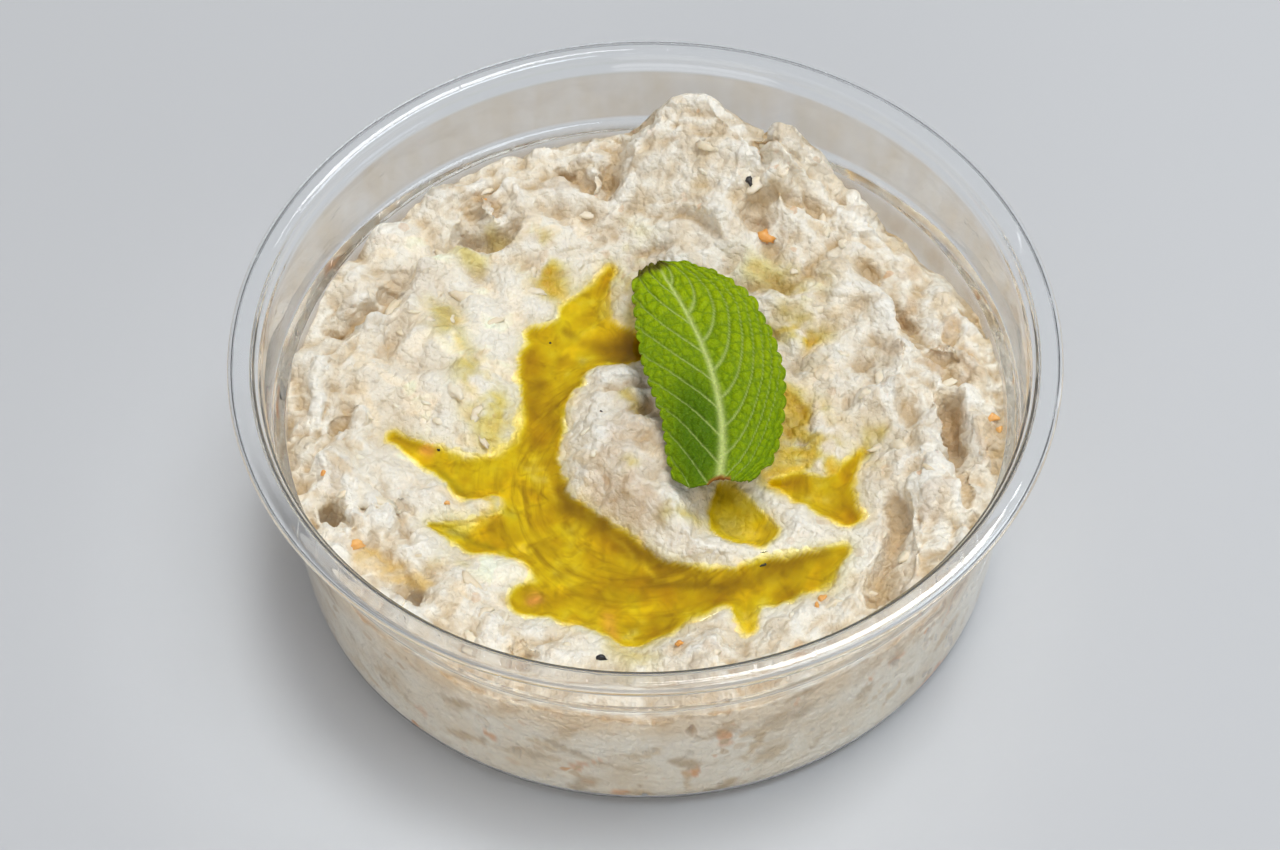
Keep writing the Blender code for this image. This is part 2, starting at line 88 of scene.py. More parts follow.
RIDGES = [               # x and y of both ends, half width, height
    (0, -21, 9, -24.5, 3.0, 1.8), (9, -24.5, 18, -24.0, 2.4, 2.0),
    (18, -24.0, 27, -20.5, 2.4, 1.8), (16, -13.5, 23, -18.5, 2.0, 1.6), (30, 25, 35, 19, 2.0, 1.2),
    (35, 19, 37.5, 9, 2.2, 1.6), (37.5, 9, 36, 2, 2.2, 1.5), (36, 2, 31, -3, 2.0, 1.4),
    (40.5, -2, 42, -12, 2.0, 1.2), (47, 1, 46.5, -12, 2.0, 1.2), (38, -16, 43, -18, 2.0, 1.2),
    (-37, -6, -24, -17.5, 2.4, 1.0), (-26, -16, -21, -17.5, 1.2, 1.4),
    (-44, 11.5, -39, 15.5, 1.7, 1.6), (-39, 15.5, -34.5, 19, 1.7, 1.8),
    (-34.5, 19, -32.5, 25, 1.8, 1.6), (-32.5, 25, -26, 29.5, 1.8, 1.8),
    (-26, 29.5, -18, 30, 1.7, 1.2), (-46, -7, -38, -3.5, 2.2, 1.4),
    (-43, -19.5, -36, -18, 1.8, 1.2), (-50, 9, -44, 7, 1.8, 1.4), (-20, 42, -17, 36, 1.8, 1.6),
    (18, 38.5, 27, 37.5, 1.8, 1.4), (-25, 38.5, -22.4, 34.6, 0.8, 2.2),
]
GROOVES = [              # x and y of both ends, half width, depth
    (34, 41, 47.5, 24, 4.2, 4.6), (-26, 32.3, -20, 32, 1.7, 3.0), (-5, 40, -4, 50, 1.8, 2.6),
    (17, 33, 18.5, 46, 2.0, 2.2), (-45, -16, -43, -18.5, 1.6, 2.2),
    (-34, -31, -31.5, -33, 1.6, 1.6), (44.2, 0, 44.3, -11, 1.6, 3.2),
    (35.5, -18, 32.5, -32, 2.4, 3.0), (28, 28, 33, 24, 1.8, 1.2), (33, 24, 38.5, 16, 1.8, 1.6),
    (38.5, 16, 40.5, 8, 1.8, 1.4), (-46, 15.5, -40.5, 18, 1.6, 1.6),
    (-40.5, 18, -37, 22, 1.6, 1.8), (-37, 22, -34.5, 28, 1.6, 1.4), (-34, 29.5, -27, 32, 1.6, 1.2),
    (-43.5, 0, -46, -7, 1.5, 1.4), (-12, 45, -8, 41.5, 1.6, 1.4),
]
LUMPS = [                # size across, height and seed
    (12.5, 1.5, 11), (7.4, 1.0, 12),
]
CALM = 9.0               # the lumps grow to full height over this distance from the oil
KNOB = (-1, -12, 14.0)   # centre and radius of the knob in the swirl's middle
BANK_SLOPE = 0.5
KNOB_SLOPE = 1.2
OIL_LEVEL = 23.0
OIL_DEPTH = 2.8
OIL_MARGIN = 1.3         # the oil reaches this far past its shore, into the hummus
OIL_CELL = 0.45          # of its grid, which reaches past the ends of the strokes by the border
OIL_BORDER = 12
TROUGH_RUN = 2.0
POOL_STROKES = {         # x, y and half width of both ends of each stroke
    "oil_pool": [
        (-4.8, 28.2, 0.5, -8.6, 19, 4), (3, 12.5, 1.6, -9, 14, 5.2),
        (-11.5, 14.6, 4.6, -16, 15.6, 1.6), (-9, 14, 5.2, -13.5, 10.5, 5),
        (-13.5, 10.5, 4.9, -15, -1.5, 2.8), (-15, -1.5, 2.8, -17, -8, 3.8),
        (-17, -9, 4.4, -24.5, -11, 3.2), (-24.5, -11, 3.2, -36.5, -2.8, 0.9),
        (-17, -9, 4.4, -15.5, -17, 5), (-16, -20.2, 5.2, -24.5, -20.5, 2.8),
        (-24.5, -20.5, 2.8, -30.8, -18.6, 0.7), (-14, -19, 6, -7, -28.5, 8.4),
        (-9, -30, 6, -17, -31.6, 2.6), (-7, -28.5, 8.4, -1, -31.8, 7),
        (-5, -32, 6.4, -2.6, -36.6, 3.8), (-1, -31.8, 7, 10, -30.2, 2.8),
        (10, -30, 2.4, 17, -29.6, 3.6), (13, -31, 3, 13.7, -37, 0.9),
        (17, -29.6, 3.6, 23, -27.8, 3.4), (23, -27.8, 3.4, 27.6, -24.3, 1),
    ],
    "oil_pocket_front": [
        (11, -13.5, 1.6, 12.6, -18.8, 3.8), (12.6, -18.8, 3.8, 15.4, -20.6, 2.8),
    ],
    "oil_pocket_side": [
        (18, -12.4, 1.1, 21.6, -13, 2.2), (21.6, -13, 2.2, 26, -15, 3.2),
        (26, -15, 3.2, 28.4, -18.2, 2), (27.4, -12.6, 1.6, 30.6, -7.4, 0.5),
    ],
}

# The hummus's finer surface.
TOP_CELLS = 264
WALL_RINGS = 22
WALL_PRESS = 0.15        # the hummus reaches this far into the plastic, so no gap shows
SIDE_HEIGHTS = (3.0, 26.0)       # the side follows the wall between these heights
SIDE_FOOT = 2.9
SIDE_RADIUS = 52.0       # taken for lengths round the side
PIT_DEPTH = 1.1
UNDERSIDE = [(50.6, 1.9), (50.0, 1.1), (48.4, 0.75), (45.2, 0.75), (43.7, FLOOR + 0.1)]
FINE_LUMPS = [           # size across, height and seed of the lumps raised along the normals
    (4.2, 0.34, 21), (2.2, 0.22, 22), (1.15, 0.14, 23),
]
FLOW_LUMPS = [           # the same for lumps drawn out along the swirl
    (6.4, 0.95, 28), (3.4, 0.50, 30), (1.7, 0.22, 29),
]
TORN_EDGES = (3.4, 0.55, 24)      # size, height and seed of the thin torn ridges
CRACKS = [               # x and y of both ends, half width, depth of narrow cracks and pits
    (-25.5, 32.4, -21, 32.2, 0.6, 0.8), (-44.4, -15.5, -44.2, -19, 0.8, 2.2),
    (-42, -16.8, -38, -17.9, 0.6, 1.2), (-42.6, 1.6, -42.2, 1.3, 0.7, 1.4),
    (-44, -1, -45, -5, 0.6, 1.2), (-45, -6, -49, -9.5, 0.7, 1.0),
    (-32.8, -31.5, -32.6, -33.6, 0.8, 1.8), (-19, -38.5, -17, -42, 0.5, 0.9),
    (-17.5, -42.2, -16, -42.8, 0.7, 1.2), (44.3, 0.5, 44.3, -6, 0.8, 1.8),
    (43.5, -10, 44.8, -19, 0.6, 1.4), (35.6, -19, 34, -26, 0.9, 1.4),
    (33.5, -26.5, 31, -33, 0.7, 1.0), (47.5, -1.6, 48.5, -2.7, 0.8, 1.4),
    (-41, -12, -33, -17.5, 0.5, 0.7), (-46, 15.8, -40, 16.8, 0.6, 1.0),
    (-39.8, 16.6, -36.5, 20.5, 0.6, 1.2), (-5, 45, -4.5, 40, 0.7, 1.4),
    (-13, 45.5, -8, 41.5, 0.7, 1.2), (18, 43, 17.8, 37, 0.8, 1.6), (19, 35.2, 26, 35.6, 0.6, 0.8),
    (-22, -12.5, -19, -16, 0.5, 0.5), (-28, -31, -25, -32.6, 0.4, 0.5),
    (24, 24.5, 27, 22, 0.6, 0.7), (41, 8, 45, 7, 0.6, 1.0), (37, 19, 39.5, 14, 0.6, 0.8),
]
WARP = (9.0, 1.6, 41, 42, 43)    # size, reach and seeds of the noise that bends the fine lumps
FLOW_RADIUS = 15.0       # a lump this far from the knob is as long as it is wide
FLOW_PATCHES = (15.0, 34)        # size and seed of the areas that are rougher or calmer
LEAN = 0.55              # sideways lean of the lumps, as a share of their height
LEAN_LIMIT = 1.2
LEAN_NOISE = (11, 31, 32)        # size and seeds
BANK_CLEAR = 1.0         # the lean starts this far from the oil
MOST_ROUGH = 1.4
TEXTURE_AREAS = [        # x, y, radius, share of the fine lumps smeared flat, or below 0 torn up
    (-24, 20, 8, 0.7), (-33, 5, 9, 0.7), (-27, 12, 9, 0.6), (-36, -9, 6, 0.6), (-23, -27, 7, 0.65),
    (-2, -10, 7, 0.3), (24, 2, 7, 0.5), (27, 14, 7, 0.5), (13, 30, 6, 0.4), (30, -22, 5, 0.6),
    (-33, 29, 6, 0.75), (-42, -26, 5, 0.4), (-12, 34, 6, 0.4), (44, -8, 7, -0.6),
    (39, -24, 7, -0.5), (45, 12, 7, -0.6), (-46, -4, 5, -0.5), (-43, -18, 5, -0.4),
    (-44, 16, 4, -0.5), (-7, 44, 6, -0.3), (20, 41, 7, -0.3), (35, 29, 7, -0.5),
    (-32, -32, 5, -0.3), (8, -43, 7, -0.3), (-24, 38, 5, -0.4), (36, 8, 5, -0.3), (8, 47, 4, -0.6),
]

CHOPPED_BITS = 520       # patches of colour in the top
PATCH_LENGTHS = (0.9, 3.2)       # half of each, from the shortest to the longest
PATCH_WIDTHS = (0.6, 1.5)
PATCH_WEIGHTS = (0.25, 0.95)
PATCH_RISE = 0.22
PATCH_SEED = 51
SIDE_FLECKS = 280        # patches of colour seen through the wall
FLECK_HEIGHTS = (2.0, 27.0)
FLECK_LENGTHS = (0.8, 4.0)
FLECK_WIDTHS = (0.4, 1.3)
FLECK_WEIGHTS = (0.2, 0.8)
FLECK_TURN = (0.35, 0.5)         # mean and spread in radians
FLECK_SEED = 81
RUSTY_SHARE = 0.16
RUSTY_GAIN = 1.4
MOST_WEIGHT = 0.9
HOLLOWS = [              # cells averaged, depth at full strength, strength of the painted shade in them
    (2, 0.22, 0.3), (5, 0.7, 0.5),
]
WIDE_HOLLOW = (12, 1.6, 0.35)    # the same, on smooth and rough areas alike
SWIRL_SEAM = math.radians(45)    # bearing from the knob where the drawn-out streaks may break
SWIRL_RADIUS = 20.0      # taken for lengths round the knob

# Colours, as screen values from 0 to 255.
IVORY = (247, 239, 222)
CREAM = (236, 221, 195)
# The next two are painted shade in hollows and pits, and painted light on crests.
HOLLOW_SHADE = (186, 152, 98)
CREST_LIGHT = (250, 246, 236)
INCLUSIONS = [(205, 178, 134), (214, 184, 132), (196, 170, 132), (222, 196, 152)]
SIDE_SHADES = [(190, 162, 116), (208, 176, 124), (182, 158, 118), (214, 188, 144)]
CHUNKS = [(196, 168, 124), (216, 190, 150)]
RUST = (226, 158, 88)
CARROT_COLORS = [(242, 186, 112), (230, 156, 70)]
SEED_COLORS = [(44, 38, 34), (24, 22, 24)]
SHRED_COLORS = [(242, 231, 208), (230, 212, 180)]
OIL_TINT = (0.75, 0.63, 0.01)   # share of red, green and blue light left by 1 mm of oil
FILM_TINT = (0.94, 0.77, 0.17)    # the same where a film has soaked in
OIL_REACH = 1.55         # deeper oil than this is no darker, in millimetres
OIL_CLEAR = (253, 250, 215)
OIL_SHADOW = (254, 252, 232)
OIL_STREAK = (128, 96, 0)
OIL_GLINT = (226, 198, 40)
OIL_PALE = (222, 190, 24)
OIL_EDGE = (84, 84, 8)
LEAF_GREEN = (134, 160, 0)
# The next two are painted light and painted shade on the blade.
LEAF_PAINTED_LIGHT = (170, 190, 0)
LEAF_PAINTED_SHADE = (70, 106, 0)
LEAF_NET = (140, 166, 36)
LEAF_VEIN = (200, 212, 126)
LEAF_RIM = (74, 48, 20)
LEAF_CUT = (150, 98, 40)
STAIN_GOLD = (226, 188, 108)
STAIN_OLIVE = (190, 162, 94)
STAIN_TAN = (200, 164, 116)

FADES = [                # x, y, radius and added width of the places where the oil thins out
    (-23, -1, 5, 3.5), (-24, -17, 4.5, 2.4), (-14, -27, 3, 1.6), (-9, -34, 4, 2.4),
    (4, -36, 5, 1.4), (25, -30, 5, 2.6), (-5, 23, 4, 2.2), (15, -21, 2, 1.2), (28, -18, 3, 1.0),
]
# Bits that stand out of the top, in the CAD hummus too.
CARROT = [               # x, y, length, width, thickness, turn in degrees
    (18.4, 30.6, 2.6, 1.8, 1.1, 110), (50.0, -2.2, 1.8, 1.3, 0.9, 10),
    (24.0, -33.2, 1.8, 1.1, 0.9, 60), (-41.3, -23.2, 2.6, 1.5, 0.9, 25),
]
SMALL_CARROT = [
    (-46, -11.5, 1.1, 0.8, 0.6, 40), (-28.5, -16, 0.9, 0.6, 0.5, 0), (51, -3.6, 1.3, 0.9, 0.7, 70),
    (23.2, -34.8, 1.3, 0.7, 0.6, 100), (-23.8, 38.8, 1.3, 0.8, 0.6, 80),
    (4, -41.4, 1.2, 0.8, 0.6, 20),
]
SEEDS = [
    (16.1, 37.3, 1.7, 1.0, 0.9, 95), (-7.0, -42.6, 2.0, 0.9, 0.8, 5),
]
SPECKS = [
    (-30, -5, 0.7, 0.45, 0.4, 150), (-14, 15, 0.5, 0.4, 0.4, 0), (-6.5, -1.5, 0.5, 0.4, 0.4, 30),
    (16, -26.3, 1.2, 0.5, 0.5, 20), (12, -10, 0.6, 0.4, 0.4, 60),
]
SHRED_COUNT = 18
SHRED_REACH = 0.92       # share of the hummus's radius where shreds lie
SHRED_FROM_OIL = 4.0     # clear distances from a shred's middle
SHRED_FROM_LEAF = 15.0
SHRED_GAP = 9.0
BIT_SEED = 3
SMALL_SHREDS = 40
BIT_RINGS = 8
BIT_SEGMENTS = 12
SHALLOWS = [             # x, y, radius, share of the oil's colour that is missing
    # The first, in the front pocket, is painted light: it lightens the oil lying in the leaf's
    # shadow.
    (12.5, -19, 5, 0.75), (-26, -18.0, 3.5, 0.8), (26, -29, 4, 0.5), (-14, -27.5, 4, 0.4),
    (1, -31, 9, -0.3), (-24, -8, 3, 0.4), (-13, 18, 4, 0.25), (-8, -36, 5, 0.35),
    (24, -14, 4, 0.3), (3, -33, 5, 0.2), (-20, -10.5, 5, 0.25), (-17, -22, 4, 0.3),
    (14, -35, 3, 0.4), (-4, 22, 4, 0.4),
]
OIL_MARKS = [            # colours, and x and y of both ends, half width and strength of lines
    # The glint lines are painted highlights along the knob's shore.
    (OIL_GLINT, [(-15, -8, -13, -14, 0.3, 0.7), (-13, -14, -8, -17.5, 0.3, 0.7),
        (-8, -17.5, -3, -23, 0.3, 0.7), (-3, -23, 1, -28, 0.3, 0.7), (1, -28, 10, -30, 0.3, 0.5)]),
    (OIL_STREAK, [(-12.4, -12, -11.4, -15.4, 1.1, 0.75), (-11.4, -15.4, -6.4, -19, 1.4, 0.75),
        (-6.4, -19, -1, -24, 1.3, 0.65), (-1, -24, 6, -27, 1.3, 0.55),
        (0, -28.4, 10, -29.6, 0.8, 0.85), (10, -29.6, 21, -26.4, 1.2, 0.55),
        (17, -26.4, 25, -24.6, 0.8, 0.7), (-8, -30, 0, -30.5, 2.0, 0.3),
        (-3, -36, 3, -34, 1.4, 0.35), (-11.5, 17, -10.8, 16.4, 0.8, 0.7),
        (-12.5, 12, -11.4, 12.6, 0.6, 0.6), (-16.5, 6.5, -15.6, 7.4, 0.8, 0.6),
        (-17, 1, -15, 8, 0.9, 0.4), (-9, 15, 1, 13.4, 1.0, 0.5), (-13, 11, -4, 11.4, 0.8, 0.4)]),
    (OIL_EDGE, [(-28, -19.2, -22, -22.2, 0.6, 0.5), (-26, -15, -19, -16.4, 0.8, 0.35),
        (-30, -8.6, -25.6, -13, 0.6, 0.35)]),
    (OIL_STREAK, [(-12, -30.5, -11, -29.6, 1.0, 0.5), (-13, -27, -11.4, -26, 0.8, 0.5)]),
    (RUST, [(-32, -4.8, -31.2, -5.2, 0.7, 0.8), (-16.5, -31.3, -15.8, -30.8, 0.8, 0.9),
        (-6, -34, -5, -38, 0.9, 0.4)]),
    # Painted light over the leaf's shadow in the front pocket.
    (OIL_GLINT, [(11.5, -15, 14, -20, 2.4, 0.45)]),
]
OIL_FILMS = [            # x and y of both ends, half width, millimetres of oil soaked in there
    (-25, 7, -22, -4.5, 2.6, 0.36), (-22, 3, -19.5, -3, 1.8, 0.4), (-15, 29, -13, 23, 2.4, 0.65),
    (-14.5, 26, -14, 24, 1.2, 0.8), (-27, 29, -24.6, 28, 1.5, 0.3),
    (-30, 18, -28.5, 14, 2.2, 0.32), (-27, 12, -25, 8, 1.4, 0.18), (-2, 31, -3, 26, 2.6, 0.25),
    (-1, 22, -2, 18, 2.2, 0.3), (19, 13.5, 22.5, 13, 1.5, 0.7), (17, 25, 23, 21.5, 3.0, 0.3),
    (21, 16, 26, 14, 2.0, 0.3), (20, 2, 24, -1, 1.8, 0.8), (22, -5, 29, -9, 3.4, 0.3),
    (18, -8, 24, -11, 3.2, 0.7), (16, -11, 20, -13, 2.0, 0.7), (20, -4, 25, -8, 2.8, 0.6),
    (-23, 32.6, -19.5, 31.6, 1.0, 0.25), (20, 14, 23.5, 13.4, 1.4, 0.8),
    (-23, -16.2, -18.5, -16.6, 1.6, 1.2), (24, -10, 29, -11, 2.6, 0.35),
    (30, -7, 33.5, -5, 1.2, 0.4), (3, -19.5, 8, -20, 1.4, 0.35),
    (-23, -17.4, -27, -16.4, 1.6, 0.25), (-6, -37, -2, -41, 3.0, 0.3),
    (-3, 3.4, -1, -1, 0.9, 0.35), (-3.4, -12.6, -2.6, -12, 1.1, 0.3),
    (-30, -25.6, -27, -26, 1.6, 0.12),
]
STAINS = [               # x, y, half length, half width, turn in degrees, strength, colour
    (-30, 16, 3.4, 2.0, 40, 0.55, STAIN_OLIVE), (-38.5, 11, 2.6, 0.8, 60, 0.6, STAIN_TAN),
    (-24.8, 10.5, 2.2, 0.7, 60, 0.5, STAIN_TAN), (22, 16, 3.6, 1.8, 160, 0.5, STAIN_OLIVE),
    (20, 22, 3.4, 2.0, 10, 0.35, STAIN_OLIVE), (-36, -27, 5.6, 2.0, 150, 0.75, STAIN_GOLD),
    (-33.5, -29, 3.4, 1.0, 170, 0.8, STAIN_GOLD), (-39.5, -25, 2.4, 1.0, 60, 0.8, STAIN_GOLD),
    (-3, -11, 8.0, 5.0, 70, 0.5, STAIN_TAN), (-2, -17.5, 6.0, 2.4, 150, 0.55, STAIN_TAN),
    (2, -5, 5.0, 2.0, 100, 0.3, STAIN_TAN), (31.5, 41, 3.0, 1.3, 110, 0.6, STAIN_GOLD),
    (24.5, 8, 2.6, 1.6, 30, 0.35, STAIN_OLIVE), (35, 3, 2.2, 1.4, 20, 0.4, STAIN_TAN),
    (39, 17, 2.6, 1.4, 60, 0.7, STAIN_TAN), (45, 13, 2.8, 1.6, 80, 0.8, STAIN_TAN),
    (42, 7, 2.4, 1.2, 10, 0.8, STAIN_TAN), (44, -3, 3.0, 1.4, 80, 0.7, STAIN_TAN),
    (47, 6, 3.4, 2.0, 80, 0.6, STAIN_TAN), (36, 9, 3.0, 1.6, 120, 0.5, STAIN_TAN),
    (49, -8, 4.0, 1.6, 85, 0.6, STAIN_TAN), (40, 24, 2.4, 1.4, 40, 0.6, STAIN_TAN),
    (-20, -32, 1.2, 1.0, 0, 0.5, STAIN_OLIVE), (4, -42, 2.2, 1.2, 20, 0.6, STAIN_TAN),
    (9, -43, 2.0, 1.0, 160, 0.55, STAIN_TAN), (9, 38, 2.4, 1.2, 80, 0.3, STAIN_GOLD),
    (-23.5, 38.6, 1.2, 1.8, 90, 0.7, STAIN_TAN), (-12, 42, 3.0, 2.4, 30, 0.4, STAIN_TAN),
    (-18.5, 31, 3.4, 1.0, 10, 0.35, STAIN_TAN), (34, -22, 3.4, 1.6, 70, 0.4, STAIN_TAN),
    (40.5, -19, 4.2, 1.8, 60, 0.4, STAIN_TAN), (-44, -12, 3.2, 1.4, 60, 0.4, STAIN_TAN),
    (-34, 22, 5.0, 2.4, 30, 0.25, STAIN_TAN), (36, -30, 4.0, 2.0, 60, 0.35, STAIN_TAN),
]


def tone(color):
    """Linear colour of screen values from 0 to 255."""
    share = np.array(color, float) / 255.0
    return np.where(share <= 0.04045, share / 12.92, ((share + 0.055) / 1.055) ** 2.4)


def rgba(color):
    """A screen colour as a shader's linear one."""
    return (*tone(color), 1.0)


def toward(color, screen_color, weight):
    """Linear colours carried toward a screen colour, by a weight for each point."""
    return color + (tone(screen_color) - color) * weight[:, None]


def smooth_min(a, b, blend):
    """The lower of two heights, rounded where they cross."""
    mix = np.clip(0.5 + 0.5 * (b - a) / blend, 0.0, 1.0)
    return b + (a - b) * mix - blend * mix * (1.0 - mix)


def smooth_step(value, low, high):
    """0 below low, 1 above high, and a smooth rise between."""
    share = np.clip((value - low) / (high - low), 0.0, 1.0)
    return share * share * (3.0 - 2.0 * share)


def gradient_noise(x, y, seed):
    """Smooth noise from about -1 to 1 whose bumps are one unit apart."""
    size = 64
    turn = np.random.default_rng(seed).random((size, size)) * 2 * math.pi
    slope_x, slope_y = np.cos(turn), np.sin(turn)
    cell_x, cell_y = np.floor(x).astype(int), np.floor(y).astype(int)
    part_x, part_y = x - cell_x, y - cell_y
    fade_x = part_x ** 3 * (part_x * (part_x * 6 - 15) + 10)
    fade_y = part_y ** 3 * (part_y * (part_y * 6 - 15) + 10)
    total = 0.0
    for step_x in (0, 1):
        for step_y in (0, 1):
            i, j = (cell_x + step_x) % size, (cell_y + step_y) % size
            reach = slope_x[i, j] * (part_x - step_x) + slope_y[i, j] * (part_y - step_y)
            weight_x = fade_x if step_x else 1 - fade_x
            weight_y = fade_y if step_y else 1 - fade_y
            total = total + weight_x * weight_y * reach
    return total * 1.5


def solid_noise(points, size, seed):
    """Smooth noise in space from about -1 to 1 whose bumps are this size."""
    side = 32
    slopes = np.random.default_rng(seed).normal(size=(side, side, side, 3))
    slopes /= np.linalg.norm(slopes, axis=-1, keepdims=True)
    place = points / size
    cell = np.floor(place).astype(int)
    part = place - cell
    fade = part ** 3 * (part * (part * 6 - 15) + 10)
    total = np.zeros(len(points))
    for corner in itertools.product((0, 1), repeat=3):
        index = (cell + corner) % side
        slope = slopes[index[:, 0], index[:, 1], index[:, 2]]
        weight = np.prod(np.where(corner, fade, 1 - fade), axis=1)
        total += weight * ((part - corner) * slope).sum(axis=1)
    return total * 1.6


def lumps(points, size, seed):
    """Round lumps with creases between them, from about -0.7 to 1.5."""
    return np.abs(solid_noise(points, size, seed)) * 2.2 - 0.7


def along(x, y, x0, y0, x1, y1):
    """How far along a stroke the nearest point is, from 0 to 1, and the distance to it."""
    dx, dy = x1 - x0, y1 - y0
    t = np.clip(((x - x0) * dx + (y - y0) * dy) / (dx * dx + dy * dy), 0, 1)
    return t, np.hypot(x - x0 - t * dx, y - y0 - t * dy)


def stroke(x, y, ends, half_width):
    """Weight of a straight stroke with soft edges: 1 along its middle line."""
    return np.exp(-(along(x, y, *ends)[1] / half_width) ** 2)


def spot(x, y, center_x, center_y, radius):
    """Weight of a round spot with soft edges: 1 at its middle."""
    return np.exp(-((x - center_x) ** 2 + (y - center_y) ** 2) / radius ** 2)


def pool_distance(x, y, names):
    """Distance to the shore of the named pools, below zero over the oil."""
    nearest = np.full_like(x, 99.0)
    for name in names:
        for x0, y0, r0, x1, y1, r1 in POOL_STROKES[name]:
            t, distance = along(x, y, x0, y0, x1, y1)
            nearest = smooth_min(nearest, distance - (r0 + (r1 - r0) * t), 1.2)
    return nearest


# The mint leaf's place: a bent midrib, and the height of its blade.
LEAF_SPINE = [(10.2, -16.2), (13.2, 2.0), (1.8, 24.2)]
LEAF_HEIGHT = 29.2
LEAF_THICKNESS = 0.45
LEAF_STATIONS = [        # share of the midrib, and the half widths left and right of it there
    (0.0, 6.6, 4.0), (0.08, 7.6, 7.0), (0.18, 8.2, 8.1), (0.33, 8.4, 9.3), (0.45, 9.1, 10.2),
    (0.6, 9.3, 10.4), (0.75, 8.2, 10.2), (0.83, 7.1, 8.7), (0.91, 5.9, 6.5), (0.97, 4.5, 4.1),
    (1.0, 2.6, 1.5),
]
LEAF_LOBES = (1.9, 0.4)  # how far the blade hangs below its cut end, left and right of it
UNDER_LEAF = 27.9        # the hummus stays below this height near the leaf
LEAF_REACH = 11.5        # from the midrib
LEAF_CLEARING = 4.0


def leaf_spine(t):
    """Points of the leaf's midrib at t, from 0 at the cut end to 1 at the tip, and their runs."""
    start, bend, tip = (np.array(point) for point in LEAF_SPINE)
    t = np.asarray(t, float)[..., None]
    point = (1 - t) ** 2 * start + 2 * t * (1 - t) * bend + t * t * tip
    run = 2 * (1 - t) * (bend - start) + 2 * t * (tip - bend)
    return point, run / np.linalg.norm(run, axis=-1, keepdims=True)


def leaf_distance(x, y):
    """Distance from the leaf's midrib, seen from above."""
    middle = leaf_spine(0.5)[0]
    lower = along(x, y, *LEAF_SPINE[0], *middle)[1]
    upper = along(x, y, *middle, *LEAF_SPINE[2])[1]
    return np.minimum(lower, upper)


def hummus_height(x, y):
    """Height of the hummus's worked top."""
    height = np.full_like(x, HUMMUS_LEVEL)
    for *place, rise in MOUNDS:
        height += rise * spot(x, y, *place)
    for *ends, width, rise in RIDGES:
        height += rise * stroke(x, y, ends, width)
    for *ends, width, depth in GROOVES:
        height -= depth * stroke(x, y, ends, width)
    shore = pool_distance(x, y, POOL_STROKES)
    rough = np.clip(shore / CALM, 0.12, 1.0)
    for size, rise, seed in LUMPS:
        height += rough * rise * (np.abs(gradient_noise(x / size, y / size, seed)) * 2 - 0.7)
    slope = BANK_SLOPE + (KNOB_SLOPE - BANK_SLOPE) * spot(x, y, *KNOB)
    trough = OIL_LEVEL - OIL_DEPTH * (1 - np.exp(np.minimum(shore, 0) / TROUGH_RUN))
    height = smooth_min(height, np.where(shore > 0, OIL_LEVEL + shore * slope, trough), 0.8)
    past_leaf = np.clip((leaf_distance(x, y) - LEAF_REACH) / LEAF_CLEARING, 0, 1)
    return smooth_min(height, UNDER_LEAF + HEIGHT * past_leaf, 0.6)


def pressed_radius(height):
    """Radius of hummus pressed to the tub's inner wall at a height, reaching just into it."""
    inner = sorted((h, r) for r, h in TUB_OUTLINE[INNER_WALL])
    height = np.clip(height, *SIDE_HEIGHTS)
    return np.interp(height, [h for h, _ in inner], [r for _, r in inner]) + WALL_PRESS


def make_piece(name, points, faces, replaced=()):
    """A new piece from points in millimetres, riding on the part's one body."""
    mesh = bpy.data.meshes.new(name)
    mesh.from_pydata((points * MM).tolist(), [], faces)
    mesh.validate()
    mesh.shade_smooth()
    piece = bpy.data.objects.new(name, mesh)
    bpy.context.scene.collection.objects.link(piece)
    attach(piece, "root")
    for node in replaced:
        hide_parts(node)
    return piece


def set_values(piece, name, values):
    """A value or vector for each point of the mesh, for its material to read."""
    kind = "FLOAT" if values.ndim == 1 else "FLOAT_VECTOR"
    layer = piece.data.attributes.new(name, kind, "POINT")
    layer.data.foreach_set("value" if values.ndim == 1 else "vector",
                           values.astype(np.float32).ravel())


def set_colors(piece, name, colors):
    """A linear colour for each point of the mesh, for its material to read."""
    layer = piece.data.attributes.new(name, "FLOAT_COLOR", "POINT")
    filled = np.concatenate([colors, np.ones((len(colors), 1))], axis=1)
    layer.data.foreach_set("color", filled.astype(np.float32).ravel())


def new_material(name):
    """A new material, its node tree and its Principled shader."""
    material = bpy.data.materials.new(name)
    material.use_nodes = True
    tree = material.node_tree
    return material, tree, tree.nodes["Principled BSDF"]


def add_node(tree, kind, inputs=None, **settings):
    """A node with these settings; its inputs are values, or sockets to link from."""
    made = tree.nodes.new(kind)
    for key, value in settings.items():
        setattr(made, key, value)
    set_inputs(tree, made, inputs or {})
    return made


def set_inputs(tree, made, inputs):
    for key, value in inputs.items():
        if isinstance(value, bpy.types.NodeSocket):
            tree.links.new(value, made.inputs[key])
        else:
            made.inputs[key].default_value = value


def mix_colors(tree, factor, a, b, blend="MIX"):
    """The colour socket of a mix of two colours."""
    made = add_node(tree, "ShaderNodeMix", {0: factor, 6: a, 7: b}, data_type="RGBA",
                    blend_type=blend)
    return made.outputs[2]


def noise_value(tree, vector, scale, detail=2.0, roughness=0.5, distortion=0.0):
    """The value socket of a noise texture."""
    made = add_node(tree, "ShaderNodeTexNoise", {
        "Vector": vector, "Scale": scale, "Detail": detail, "Roughness": roughness,
        "Distortion": distortion})
    return made.outputs["Fac"]


def ramp(tree, value, low, high, to_low=0.0, to_high=1.0):
    """The socket of a value carried from one range to another, and held at its ends."""
    made = add_node(tree, "ShaderNodeMapRange", {
        "Value": value, "From Min": low, "From Max": high, "To Min": to_low, "To Max": to_high})
    return made.outputs["Result"]


def attribute(tree, name, output="Fac"):
    return add_node(tree, "ShaderNodeAttribute", attribute_name=name).outputs[output]


def object_place(tree):
    return add_node(tree, "ShaderNodeTexCoord").outputs["Object"]


